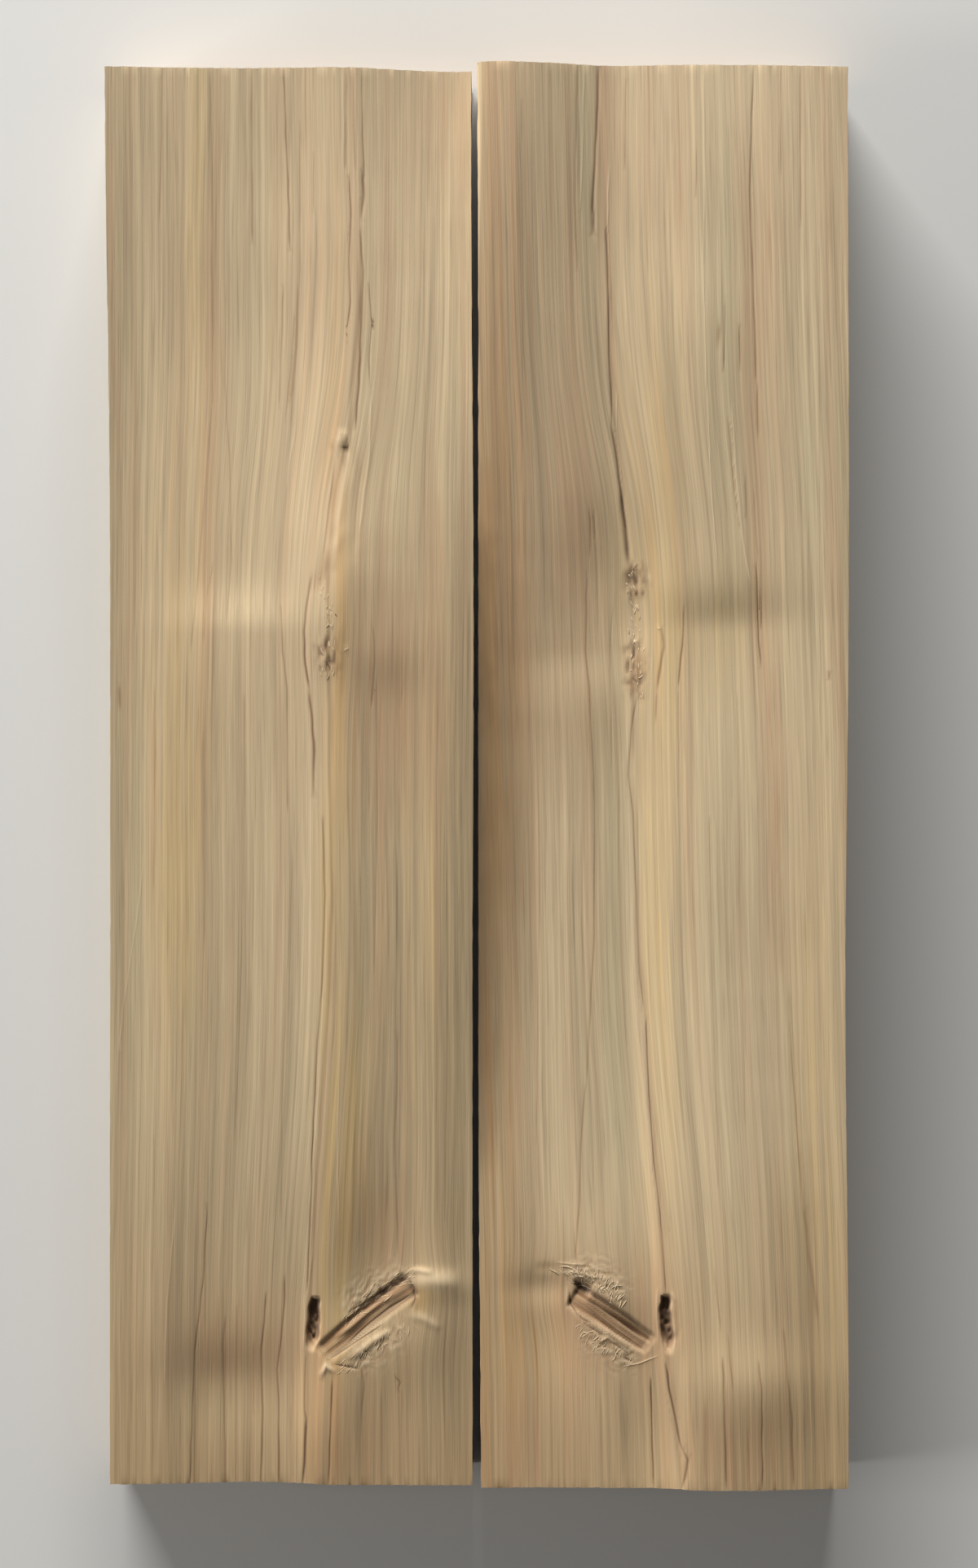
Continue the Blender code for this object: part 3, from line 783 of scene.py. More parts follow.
def draw_pocket(look, half, x, y):
    """The bark pocket: a steep dark pit, wider below, with crumbs of bark in it."""
    where = around(x, y, half["pocket"], 0.012)
    side, place = near(x[where], y[where], half["pocket"])
    swing = side / MM + 0.9 * sway(y[where] / MM, 7.0, 51)
    width = np.interp(place, (0.0, 0.3, 0.7, 1.0), POCKET_HALF_WIDTHS)
    pit = rise((width - np.abs(swing)) / 0.6) * lengthwise(place, 0.06, 0.25)
    crumbs = waves(x[where] / MM, y[where] / MM, 1.8, 3.0, 52)
    look["relief"][where] -= pit * (POCKET_DEPTH - CRUMB_HEIGHT * crumbs)
    look["pale"][where] *= 1.0 - pit
    strengthen(look, "brown", where, pit)
    strengthen(look, "dark", where, pit * np.clip(0.92 - 0.45 * place + 0.25 * crumbs, 0.0, 1.0))


def draw_torn(look, half, x, y, name, height, seed):
    """Torn fibres: short curls about two millimetres wide, leaning with the branch."""
    where = around(x, y, half[name], 0.022)
    side, place = near(x[where], y[where], half[name])
    run = place * np.hypot(*np.diff(half[name], axis=0).T).sum() / MM
    patch = bump(side / MM / TORN_HALF_WIDTH) * lengthwise(place, 0.2, 0.15)
    curl = waves(side / MM + 2.0 * np.sin(run / 3.0), run, 1.7, 5.0, seed)
    fine = waves(side / MM - 0.5 * run, run, 1.2, 3.0, seed + 1)
    look["relief"][where] += patch * height * (0.6 * curl + 0.6 * fine + 0.3)
    strengthen(look, "pale", where, patch * np.clip(0.30 + 0.6 * curl, 0.0, 0.70))
    strengthen(look, "brown", where, patch * np.clip(0.15 - 0.8 * fine, 0.0, 0.60))


# %% [markdown]
# ## The look of a face
#
# All the fine forms are laid on one after another. The order matters: the branch fades what is
# under it, and the marks then cut into the branch.

# %% Steep growth
# Place from the fold, half width, place along the log, half length up it and down it
STEEP_GROWTH = (170.0, 36.0, UPPER_KNOT + 4.0, 15.0, 60.0)
LEFT["steep"] = 0.9
RIGHT["steep"] = -0.7


def steep_growth(u, v):
    """Share of the steep place beside the upper knot: one bell, shorter up the log than down it."""
    place, half_width, along, half_length_up, half_length_down = STEEP_GROWTH
    half_length = np.where(v > along, half_length_up, half_length_down)
    return bump((u - place) / half_width) * bump((v - along) / half_length)


# %% Look of a face
SHEETS = ("relief", "dark", "brown", "pale", "nearest", "line_off", "line_dark", "line_brown")


def face_look(half, x, y):
    """Fine relief in millimetres, and how dark, brown and pale the wood is, each from 0 to 1."""
    u, v = half["place"](x, y)
    across = grain_across(u, v)
    look = {sheet: np.zeros(np.shape(x)) for sheet in SHEETS}
    look["relief"] += 0.07 * waves(across, v, 2.2, 90.0, 1) + 0.12 * waves(across, v, 5.0, 170.0, 2)
    look["relief"] += 0.22 * waves(across, v, 15.0, 300.0, 3)
    look["relief"] += half["steep"] * steep_growth(u, v)
    draw_pith(look, half, x, y)
    draw_whorl(look, half, x, y)
    draw_torn(look, half, x, y, "frayed", 0.28, 61)
    draw_torn(look, half, x, y, "curls", 0.25, 71)
    draw_branch(look, half, x, y)
    for number, mark in enumerate(half["marks"]):
        draw_mark(look, x, y, mark, 100 + 2 * number)
    draw_pocket(look, half, x, y)
    return look


print("a face has", len(SHEETS), "sheets of numbers")

# %% [markdown]
# ## Tones
#
# Raw wood drifts between pinkish, greyish green and ochre. A few long patches are placed
# where the chart shows them; the material breaks them up into streaks. On the right plank some
# are painted shade: the pink and ochre ones beside the fold, and a pink one beside the pith
# near the top. Painting them on a picture would do too, but this way they need no picture.
# Each row gives a patch's tone, its place across the chart and half width, its place down it
# and half length, and its strength.

# %% Tones
TONE_KINDS = ("pink", "green", "ochre")
LEFT["tones"] = (
    ("green", 163, 20, 1050, 260, 0.9), ("green", 160, 18, 300, 200, 0.5), ("ochre", 222, 26, 980, 230, 0.8),
    ("pink", 185, 5, 960, 130, 0.8), ("pink", 141, 4, 400, 320, 0.7), ("green", 290, 30, 300, 170, 0.5),
    ("ochre", 243, 14, 280, 230, 0.5), ("pink", 400, 28, 330, 150, 0.5), ("green", 465, 26, 520, 130, 0.5),
    ("pink", 535, 25, 140, 70, 0.7), ("pink", 527, 9, 640, 90, 0.8), ("green", 558, 14, 560, 300, 0.5),
    ("pink", 480, 45, 860, 90, 0.8), ("ochre", 525, 35, 1150, 250, 0.5), ("ochre", 411, 12, 1100, 400, 1.3),
    ("pink", 462, 30, 1530, 60, 1.0), ("ochre", 425, 22, 1420, 130, 0.9), ("pink", 425, 35, 1760, 60, 0.9),
    ("pink", 280, 60, 1655, 35, 0.6), ("green", 270, 40, 1722, 28, 0.5), ("pink", 412, 12, 620, 60, 0.8),
    ("green", 355, 60, 1350, 200, 0.3), ("ochre", 521, 12, 1592, 12, 0.9), ("ochre", 382, 8, 1740, 70, 0.9),
    ("green", 440, 40, 1590, 45, 0.9), ("pink", 350, 40, 1650, 50, 0.5),
)
RIGHT["tones"] = (
    ("pink", 630, 40, 300, 220, 0.5), ("pink", 695, 35, 620, 110, 0.8), ("green", 722, 9, 170, 90, 1.0),
    # Painted shadow: the first pink patch below darkens the wood to the right of a step along the pith
    ("pink", 748, 9, 140, 70, 1.0), ("green", 892, 20, 330, 190, 1.0), ("pink", 937, 10, 330, 150, 0.8),
    ("green", 990, 28, 640, 170, 0.8), ("ochre", 800, 34, 600, 140, 0.45),
    ("green", 755, 18, 1150, 300, 0.9), ("ochre", 808, 18, 1050, 320, 0.7),
    ("green", 888, 26, 1150, 330, 0.6), ("pink", 953, 6, 950, 190, 0.9),
    ("ochre", 1000, 26, 1450, 250, 0.6), ("pink", 650, 50, 1770, 60, 0.6), ("ochre", 655, 30, 1650, 60, 0.5),
    # Painted shade: the pink patch at 615 below darkens the wood beside the fold
    ("pink", 900, 45, 1780, 40, 0.8), ("pink", 615, 20, 950, 420, 0.7), ("ochre", 800, 9, 740, 50, 0.9),
    ("pink", 750, 60, 1620, 45, 1.0), ("pink", 795, 50, 200, 90, 0.4), ("ochre", 870, 60, 760, 60, 0.4),
    # Painted shade: the ochre and pink patches at 604 and 606 below darken the wood beside the fold, where
    # the left plank's higher edge shades it
    ("green", 700, 30, 1350, 120, 0.3), ("ochre", 604, 22, 960, 520, 1.0), ("pink", 606, 24, 960, 520, 1.0),
    ("pink", 755, 55, 1618, 60, 0.6),
)


def tone(half, x, y, kind):
    """Sum of the patches of one kind: long bells, wandering a little sideways."""
    total = np.zeros(np.shape(x))
    step = CHART_STEP / MM
    for name, chart_x, half_width, chart_y, half_length, strength in half["tones"]:
        if name == kind:
            spot = on_wood(half, ((chart_x, chart_y),))[0]
            drift = 3.0 * sway(y / MM, 80.0, chart_x)
            across = ((x - spot[0]) / MM + drift) / (step * half_width)
            total += strength * bump(across) * bump((y - spot[1]) / MM / (step * half_length))
    return total


print(len(LEFT["tones"]) + len(RIGHT["tones"]), "patches of tone")

# %% [markdown]
# ## Sewing a plank
#
# The split face is a fine net of points. The walls hang from its rim and keep only every
# fourth point at their foot, so that the flat back needs far fewer. Six sheets are sewn
# together. One could subdivide a box instead, but that spends as many points on the flat back
# as on the face. `spaced` draws the net closer at the knots and at the sawn edges.


# %% Spacing of the net
ROWS = 236
COLUMNS = 360
ACROSS_PLACES = (0, 0.012, 0.03, 0.26, 0.30, 0.50, 0.54, 0.97, 0.988, 1)
ACROSS_PITCHES = (0.2, 0.35, 1, 1, 0.66, 0.66, 1, 1, 0.35, 0.2)
ALONG_PLACES = (0, 0.004, 0.06, 0.08, 0.165, 0.20, 0.50, 0.54, 0.66, 0.69, 0.90, 0.996, 1)
ALONG_PITCHES = (0.3, 1.6, 1.6, 0.36, 0.36, 2.4, 2.4, 0.7, 0.7, 1.3, 1.3, 1.5, 0.3)


def spaced(count, knots, pitches):
    """Steps 0..1 whose spacing is read from pitches at the given places: the running sum of one
    over the pitch, turned round."""
    fine = np.linspace(0.0, 1.0, 2001)
    density = 1.0 / np.interp(fine, knots, pitches)
    reached = np.concatenate(([0.0], np.cumsum(0.5 * (density[1:] + density[:-1]))))
    return np.interp(np.linspace(0.0, reached[-1], count + 1), reached, fine)


across_steps = spaced(COLUMNS, ACROSS_PLACES, ACROSS_PITCHES)
along_steps = spaced(ROWS, ALONG_PLACES, ALONG_PITCHES)
plank_length = TOP_CUT - RIGHT_BOTTOM_CUT
print("closest rows", round(np.diff(along_steps).min() * plank_length / MM, 2), "mm apart")


# %% Nets and walls
WALL_STEPS = 4


def net(columns, rows, start):
    """Four-cornered faces of a net of points numbered row by row from start."""
    first = start + np.arange(rows)[:, None] * (columns + 1) + np.arange(columns)[None, :]
    above_first = first + columns + 1
    return np.stack((first, first + 1, above_first + 1, above_first), axis=-1).reshape(-1, 4)


def hem(fine_start, coarse_start, coarse_count):
    """Joins every four steps of a fine row to one step of a coarse row by a seven-cornered face."""
    first = fine_start + 4 * np.arange(coarse_count)
    foot = coarse_start + np.arange(coarse_count)
    return np.stack((first, first + 1, first + 2, first + 3, first + 4, foot + 1, foot), axis=-1)


def wall(rim):
    """Points from the rim down to height zero, the last row with every fourth point only."""
    depth = np.linspace(0.0, 1.0, WALL_STEPS + 1)[:, None]
    points = np.repeat(rim[None, :, :], WALL_STEPS + 1, axis=0)
    points[:, :, 2] = rim[None, :, 2] * (1.0 - depth)
    foot = points[-1, ::4]
    return points[:-1].reshape(-1, 3), foot


print("a net of 2 by 3 meshes has", len(net(2, 3, 0)), "faces")

# %% [markdown]
# ## Sawn edges
#
# No sawn edge is a perfect corner. It is rounded by half a millimetre here, and more at the
# top of the right plank's fold side, where the chart shows a soft edge. The saw also wandered
# a little. A bevel modifier would round every edge alike, so the rounding is part of the
# height instead.


# %% Sawn edges
ARRIS = 0.0006
OUTER_ARRIS = 0.0005
WORN_ARRIS = 0.0042
SAW_WANDER = 0.0003


def rounding(reach, radius):
    """Drop of a quarter round at a distance from its edge: radius * (1 - sqrt(1 - t*t)), where t
    falls from one at the edge to nothing at the radius."""
    return radius * (1.0 - np.sqrt(1.0 - np.clip(1.0 - reach / radius, 0.0, 1.0) ** 2))


def arris(half, x, y):
    """Drop of the face at its sawn edges in metres, wider at the fold side of the right plank's top."""
    outer, inner = half["sides"](y)
    radius = np.full(np.shape(x), ARRIS)
    if half["name"] == "right":
        radius = radius + WORN_ARRIS * rise((y - 0.440) / 0.055)
    ends = np.minimum(y - half["bottom"], TOP_CUT - y)
    drop = rounding(np.abs(x - inner), radius)
    return drop + rounding(np.abs(outer - x), OUTER_ARRIS) + rounding(ends, OUTER_ARRIS)


def saw_cut(half, x, y):
    """Moves the points next to the sides and ends inwards by up to twice SAW_WANDER, in waves."""
    edge = np.minimum(across_steps, 1.0 - across_steps)[None, :] / 0.02
    nick = SAW_WANDER * (1.0 + sway(y / MM, 9.0, 81)) * bump(edge)
    x = x - np.sign(x) * nick * np.where(across_steps[None, :] > 0.5, 1.0, -1.0)
    end = np.minimum(y - half["bottom"], TOP_CUT - y) / 0.004
    y = y - np.sign(y) * SAW_WANDER * (1.0 + sway(x / MM, 3.0, 82)) * bump(end)
    return x, y


print("the fold side's edge drops by", round(float(rounding(0.0, ARRIS)) / MM, 2), "mm")


# %% Mesh of a plank
HIGHEST = cad_box[1][2] - 0.0001


def face_points(half):
    """Points of the split face: the spaced net, sawn, and raised to the split with its fine relief."""
    y = (half["bottom"] + (TOP_CUT - half["bottom"]) * along_steps)[:, None] + np.zeros((1, COLUMNS + 1))
    outer, inner = half["sides"](y)
    x = inner + (outer - inner) * across_steps[None, :]
    x, y = saw_cut(half, x, y)
    z = broad_face(half, x, y) + face_look(half, x, y)["relief"] * MM
    z = np.minimum(z - arris(half, x, y), HIGHEST)
    return np.stack((x, y, z), axis=-1)


def plank_mesh(half):
    """A closed plank: split face, four hanging walls and a flat back, ready to be sewn."""
    face = face_points(half)
    points = [face.reshape(-1, 3)]
    quads = [net(COLUMNS, ROWS, 0)]
    hems = []
    start = points[0].shape[0]
    for rim in (face[:, 0], face[:, -1], face[0, :], face[-1, :]):
        body, foot = wall(rim)
        width = rim.shape[0] - 1
        rows = body.shape[0] // (width + 1) - 1
        quads.append(net(width, rows, start))
        hems.append(hem(start + rows * (width + 1), start + body.shape[0], width // 4))
        points.extend((body, foot))
        start += body.shape[0] + foot.shape[0]
    back = face[::4, ::4].copy()
    back[:, :, 2] = 0.0
    quads.append(net(COLUMNS // 4, ROWS // 4, start))
    points.append(back.reshape(-1, 3))
    mesh = bpy.data.meshes.new("plank_" + half["name"] + "_wood")
    faces = np.concatenate(quads).tolist() + np.concatenate(hems).tolist()
    mesh.from_pydata(np.concatenate(points), [], faces)
    return mesh


left_mesh = plank_mesh(LEFT)
right_mesh = plank_mesh(RIGHT)
print(left_mesh.name, len(left_mesh.vertices), "points before sewing")

# %% [markdown]
# ## Torn fibres
#
# Round the open branch the split tore fibres loose. Hair particles could grow there, but they
# are no mesh. So they are real little splinters: each starts at the branch, curls as it runs,
# lifts a little off the wood, and thins to its tip. Lengths are in millimetres, headings and
# curls in degrees.

# %% Fringes of torn fibres
FIBRE_STEPS = 7
LEFT["fringes"] = (
    {"line": ((420, 1628), (440, 1606), (462, 1590), (482, 1578), (500, 1562)), "count": 110,
     "length": (4.0, 9.0), "heading": (62.0, 34.0), "curl": 14.0, "lift": 0.10, "pale": (0.0, 0.4)},
    {"line": ((424, 1676), (450, 1656), (480, 1634), (500, 1618)), "count": 70,
     "length": (3.0, 8.0), "heading": (-125.0, -75.0), "curl": 18.0, "lift": 0.15, "pale": (0.2, 0.7)},
    {"line": ((398, 700), (404, 760), (400, 830)), "count": 36,
     "length": (2.0, 5.0), "heading": (-70.0, -100.0), "curl": 20.0, "lift": 0.25, "pale": (0.2, 0.8)},
)
RIGHT["fringes"] = (
    {"line": ((694, 1566), (716, 1570), (738, 1584), (760, 1602)), "count": 120,
     "length": (4.0, 10.0), "heading": (150.0, 66.0), "curl": 45.0, "lift": 0.30, "pale": (0.2, 0.8)},
    {"line": ((712, 1628), (740, 1648), (775, 1668)), "count": 50,
     "length": (3.0, 7.0), "heading": (-150.0, -100.0), "curl": 22.0, "lift": 0.15, "pale": (0.1, 0.5)},
    {"line": ((772, 700), (780, 780), (786, 850)), "count": 44,
     "length": (2.0, 5.0), "heading": (-60.0, -110.0), "curl": 30.0, "lift": 0.3, "pale": (0.2, 0.8)},
)


def splinters(half, fringe, seed):
    """Points of the splinters of one fringe, and how pale each is. A splinter's way is the running
    sum of short steps whose heading turns evenly; its section is a flat three-cornered blade."""
    random = np.random.default_rng(seed)
    count = fringe["count"]
    line = on_wood(half, fringe["line"])
    reached = np.linspace(0.0, 1.0, len(line))
    start = random.uniform(0.0, 1.0, count)
    ahead = np.linspace(0.0, 1.0, FIBRE_STEPS + 1)[None, :]
    first, last = fringe["heading"]
    heading = np.radians(first + (last - first) * start + random.normal(0.0, 12.0, count))[:, None]
    heading = heading + np.radians(random.normal(0.0, fringe["curl"], count))[:, None] * ahead
    step = random.uniform(*fringe["length"], count)[:, None] * MM / FIBRE_STEPS
    scatter = random.normal(0.0, 2.6, (2, count, 1)) * MM
    x = np.interp(start, reached, line[:, 0])[:, None] + scatter[0]
    x = x + np.cumsum(np.cos(heading) * step, axis=1)
    y = np.interp(start, reached, line[:, 1])[:, None] + scatter[1]
    y = y + np.cumsum(np.sin(heading) * step, axis=1)
    wood_height = broad_face(half, x, y) + face_look(half, x, y)["relief"] * MM
    lift = random.uniform(0.0, 1.0, count)[:, None] * fringe["lift"] * MM * np.sin(2.6 * ahead)
    breadth = random.uniform(0.15, 0.50, count)[:, None] * MM * np.sin(0.5 + 2.2 * ahead)
    corners = []
    for aside, up in ((-1.0, -0.25), (1.0, -0.25), (0.0, 0.25)):
        corner_x = x - np.sin(heading) * breadth * aside
        corner_y = y + np.cos(heading) * breadth * aside
        corners.append(np.stack((corner_x, corner_y, wood_height + lift + breadth * up), axis=-1))
    points = np.stack(corners, axis=2)
    points[..., 2] = np.minimum(points[..., 2], HIGHEST)
    return points, random.uniform(*fringe["pale"], count)


for half in (LEFT, RIGHT):
    print(half["name"], "plank:", sum(fringe["count"] for fringe in half["fringes"]), "splinters")

# %% [markdown]
# ## What the material reads
#
# Colour needs to know where a point lies in the log. Each vertex keeps its growth distance,
# its depth under the face, its place along the log, and how stained it is, painted shade
# included. On the branch the growth runs along the branch instead. A texture laid on by
# coordinates of the object alone would not know any of this, so the numbers are stored on the
# mesh as attributes.


# %% Sewing and storing
WELD = 0.000002        # points closer than this in metres become one
SHARP_ANGLE = 50.0     # edges sharper than this in degrees stay sharp


def stored(mesh, name, values):
    """Keeps a vector of three numbers for every vertex of the mesh."""
    layer = mesh.attributes.new(name, "FLOAT_VECTOR", "POINT")
    layer.data.foreach_set("vector", np.ravel(values).astype(np.float32))


def sew(mesh):
    """Merges the doubled points of the six sheets, turns all faces outwards, and counts open edges."""
    shape = bmesh.new()
    shape.from_mesh(mesh)
    bmesh.ops.remove_doubles(shape, verts=shape.verts[:], dist=WELD)
    bmesh.ops.recalc_face_normals(shape, faces=shape.faces[:])
    loose = sum(1 for edge in shape.edges if not edge.is_manifold)
    shape.to_mesh(mesh)
    shape.free()
    return loose


print("open edges:", sew(left_mesh), "left and", sew(right_mesh), "right")


# %% Grain and stains of a plank
FACE_SKIN = 0.004      # stains and painted shade reach this deep in metres and fade over as much again
END_SKIN = 0.0007      # the sawn ends are this close to the cut
END_BROWN = 0.70


def store_grain(half, mesh, x, y, depth):
    """Growth distance, depth and place along the log in metres. On the branch its own two
    directions take over; they start at 0.3 and 0.2 so that its noise is another one."""
    u, v = half["place"](x, y)
    grain = np.stack((grain_across(u, v) * MM, depth, v * MM), axis=-1)
    where = around(x, y, half["branch"], 0.020)
    body, lean, run = branch_body(half, x[where], y[where])
    turned = np.stack((lean * MM + 0.3, depth[where], run * MM + 0.2), axis=-1)
    grain[where] = np.where(body[:, None] > 0.5, turned, grain[where])
    stored(mesh, "grain", grain)


def store_looks(half, mesh, x, y, below):
    """Lines, stains and tones, some of them painted shade, which all fade below the face. The end grain is
    browner.
    """
    look = face_look(half, x, y)
    skin = np.exp(-np.clip(below - FACE_SKIN, 0.0, 1.0) / FACE_SKIN)[:, None]
    dark_line = look["line_dark"] * skin[:, 0]
    brown_line = look["line_brown"] * skin[:, 0]
    stored(mesh, "lines", np.stack((look["line_off"], dark_line, brown_line), axis=-1))
    stains_and_painted_shade = np.stack((look["dark"], look["brown"], look["pale"]), axis=-1)
    stains_and_painted_shade = np.clip(stains_and_painted_shade, 0.0, 1.0) * skin
    sawn_end = (np.minimum(y - half["bottom"], TOP_CUT - y) < END_SKIN) & (below > 0.0015)
    stains_and_painted_shade[:, 1] = np.maximum(stains_and_painted_shade[:, 1], END_BROWN * sawn_end)
    stored(mesh, "stains_and_painted_shade", stains_and_painted_shade)
    tones = np.stack([tone(half, x, y, kind) for kind in TONE_KINDS], axis=-1)
    stored(mesh, "tones", np.clip(tones, 0.0, 1.0) * skin)


# %% Finish the planks
def on_stage(mesh):
    """Makes an object of a mesh, at the origin, unturned."""
    made = bpy.data.objects.new(mesh.name, mesh)
    bpy.context.scene.collection.objects.link(made)
    return made


def finish_plank(half, mesh):
    """Stores the grain and the stains, and keeps only the sawn edges sharp."""
    spots = np.empty(len(mesh.vertices) * 3, np.float32)
    mesh.vertices.foreach_get("co", spots)
    x, y, z = spots.reshape(-1, 3).astype(float).T
    top = broad_face(half, x, y)
    store_grain(half, mesh, x, y, half["sign"] * (z - top))
    store_looks(half, mesh, x, y, top - z)
    mesh.shade_smooth()
    mesh.set_sharp_from_angle(angle=math.radians(SHARP_ANGLE))
    return on_stage(mesh)


left_plank = finish_plank(LEFT, left_mesh)
right_plank = finish_plank(RIGHT, right_mesh)
print(left_plank.name, "and", right_plank.name, "have", len(left_mesh.polygons), "faces each")


# %% Mesh of the torn fibres
def torn_fibres(half):
    """All splinters of a plank as one mesh: a ring of three points at each step, closed at both ends."""
    made = [splinters(half, fringe, 200 + number) for number, fringe in enumerate(half["fringes"])]
    points = np.concatenate([part for part, pale in made])
    pale = np.concatenate([pale for part, pale in made])
    count, rings = points.shape[:2]
    first = (np.arange(count)[:, None] * rings + np.arange(rings - 1)[None, :])[:, :, None] * 3
    corner = np.arange(3)
    after = (corner + 1) % 3
    sides = np.stack((first + corner, first + after, first + 3 + after, first + 3 + corner), axis=-1)
    root = np.arange(count)[:, None] * rings * 3
    caps = np.concatenate((root + (2, 1, 0), root + 3 * (rings - 1) + (0, 1, 2)))
    mesh = bpy.data.meshes.new("torn_fibres_" + half["name"])
    mesh.from_pydata(points.reshape(-1, 3), [], sides.reshape(-1, 4).tolist() + caps.tolist())
    x, y, z = points.reshape(-1, 3).T
    own = np.repeat(pale, rings * 3)
    stored(mesh, "grain", np.stack((0.05 + own * 0.1, z * 0.0, y), axis=-1))
    stored(mesh, "stains_and_painted_shade", np.stack((own * 0.0, 0.25 * (1.0 - own), own), axis=-1))
    stored(mesh, "tones", np.zeros((len(x), 3)))
    return on_stage(mesh)


left_fibres = torn_fibres(LEFT)
right_fibres = torn_fibres(RIGHT)
print("torn fibres have", len(left_fibres.data.polygons) + len(right_fibres.data.polygons), "faces")

# %% [markdown]
# ## Riding and replacing
#
# The finer planks take the place of the two solids. Nothing moves here, so every piece rides
# on the root body.

# %% Riding and replacing
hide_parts("plank_left")
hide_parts("plank_right")
LEFT_PIECES = (left_plank, left_fibres)
RIGHT_PIECES = (right_plank, right_fibres)
for piece in LEFT_PIECES + RIGHT_PIECES:
    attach(piece, "root")
    print(piece.name, "rides on the root body")

# %% [markdown]
# ## Wood material
#
# Growth lines are noise of the distance from the pith, fibres are noise drawn out along the
# log. The same recipe gives parallel lines on the split and arcs on the sawn ends. A wave
# texture would give even rings, but real rings are uneven, so they are noise as well. First
# come a few helpers that add one shader node each.


# %% Small helpers for the material
def attribute(tree, name):
    """The three numbers stored on the mesh under a name."""
    made = tree.nodes.new("ShaderNodeAttribute")
    made.attribute_name = name
    return made.outputs["Vector"]


def parted(tree, vector):
    """The three parts of a vector."""
    made = tree.nodes.new("ShaderNodeSeparateXYZ")
    tree.links.new(vector, made.inputs[0])
    return made.outputs


def calc(tree, operation, first, second=None):
    """One step of arithmetic; first and second are sockets or numbers."""
    made = tree.nodes.new("ShaderNodeMath")
    made.operation = operation
    for socket, value in zip(made.inputs, (first, second)):
        if value is None:
            continue
        if isinstance(value, (int, float)):
            socket.default_value = value
        else:
            tree.links.new(value, socket)
    return made.outputs[0]


def times(tree, first, second):
    """Product of two sockets or numbers."""
    return calc(tree, "MULTIPLY", first, second)


def blend(tree, share, first, second, kind="MIX"):
    """Mixes two colours by share; the first is a socket, the second a colour."""
    made = tree.nodes.new("ShaderNodeMix")
    made.data_type = "RGBA"
    made.blend_type = kind
    made.clamp_factor = True
    tree.links.new(share, made.inputs[0])
    tree.links.new(first, made.inputs[6])
    made.inputs[7].default_value = (*second, 1.0)
    return made.outputs[2]


def speckle(tree, grain, scale, detail=2.0, roughness=0.6, shift=0.0):
    """Noise of the grain: scale says how many times it repeats a metre across, in depth and along."""
    stretch = tree.nodes.new("ShaderNodeMapping")
    stretch.inputs["Scale"].default_value = scale
    stretch.inputs["Location"].default_value = (shift, shift, shift)
    tree.links.new(grain, stretch.inputs["Vector"])
    noise = tree.nodes.new("ShaderNodeTexNoise")
    noise.inputs["Scale"].default_value = 1.0
    noise.inputs["Detail"].default_value = detail
    noise.inputs["Roughness"].default_value = roughness
    tree.links.new(stretch.outputs[0], noise.inputs["Vector"])
    return noise.outputs["Fac"]


def above(tree, value, start, width):
    """Turns a noise into sparse marks: nothing below start, one above start + width."""
    lifted = times(tree, calc(tree, "SUBTRACT", value, start), 1.0 / width)
    return calc(tree, "MINIMUM", calc(tree, "MAXIMUM", lifted, 0.0), 1.0)


def total(tree, terms):
    """One, plus each noise times its share, counted from the noise's middle value one half."""
    result = 1.0
    for noise, share in terms:
        result = calc(tree, "ADD", times(tree, calc(tree, "SUBTRACT", noise, 0.5), share), result)
    return result


# %% [markdown]
# ## Growth lines, fibres and tones
#
# The rings read the distance from the pith; its sign keeps the two sides of the pith apart.
# Sparse dark veins and short dashes follow the rings. The placed tones are broken up by the
# streaks, and a slow noise adds some more of the same tones where none were placed.


# %% Growth lines, fibres and tones
PINK = (0.96, 0.86, 0.84)
GREEN = (0.93, 0.99, 0.99)
OCHRE = (0.99, 0.92, 0.74)
BOTTOM_BROWN = (0.86, 0.79, 0.70)


def by_rings(tree, grain):
    """The grain with its depth rolled in: distance from the pith, side of the pith, place along."""
    across, depth, along = parted(tree, grain)
    squares = calc(tree, "ADD", times(tree, across, across), times(tree, depth, depth))
    ringwise = tree.nodes.new("ShaderNodeCombineXYZ")
    tree.links.new(calc(tree, "SQRT", squares), ringwise.inputs[0])
    tree.links.new(calc(tree, "SIGN", across), ringwise.inputs[1])
    tree.links.new(along, ringwise.inputs[2])
    return ringwise.outputs[0]


def wood_noises(tree, grain, ringwise):
    """The four noises of the wood, from growth lines and fibres to streaks and broad bands."""
    return {
        "rings": speckle(tree, ringwise, (420.0, 5.0, 2.2)),
        "fibres": speckle(tree, grain, (1250.0, 1250.0, 16.0)),
        "streaks": speckle(tree, grain, (170.0, 170.0, 3.2), shift=3.0),
        "bands": speckle(tree, grain, (48.0, 48.0, 1.6), roughness=0.55, shift=7.0),
    }


def plain_wood(tree, ringwise, noises, base_colour):
    """The base colour times its lightness: the noises by their shares, less veins and dashes."""
    shares = (("rings", 0.66), ("fibres", 0.46), ("streaks", 0.50), ("bands", 0.52))
    lightness = total(tree, [(noises[name], share) for name, share in shares])
    veins = above(tree, speckle(tree, ringwise, (300.0, 5.0, 5.0), 1.0, 0.5, 13.0), 0.62, 0.10)
    dashes = above(tree, speckle(tree, ringwise, (620.0, 5.0, 14.0), 1.0, 0.5, 21.0), 0.62, 0.08)
    lightness = calc(tree, "SUBTRACT", lightness, times(tree, veins, 0.16))
    lightness = calc(tree, "SUBTRACT", lightness, times(tree, dashes, 0.13))
    wood = tree.nodes.new("ShaderNodeVectorMath")
    wood.operation = "SCALE"
    wood.inputs[0].default_value = base_colour
    tree.links.new(lightness, wood.inputs["Scale"])
    return wood.outputs[0]


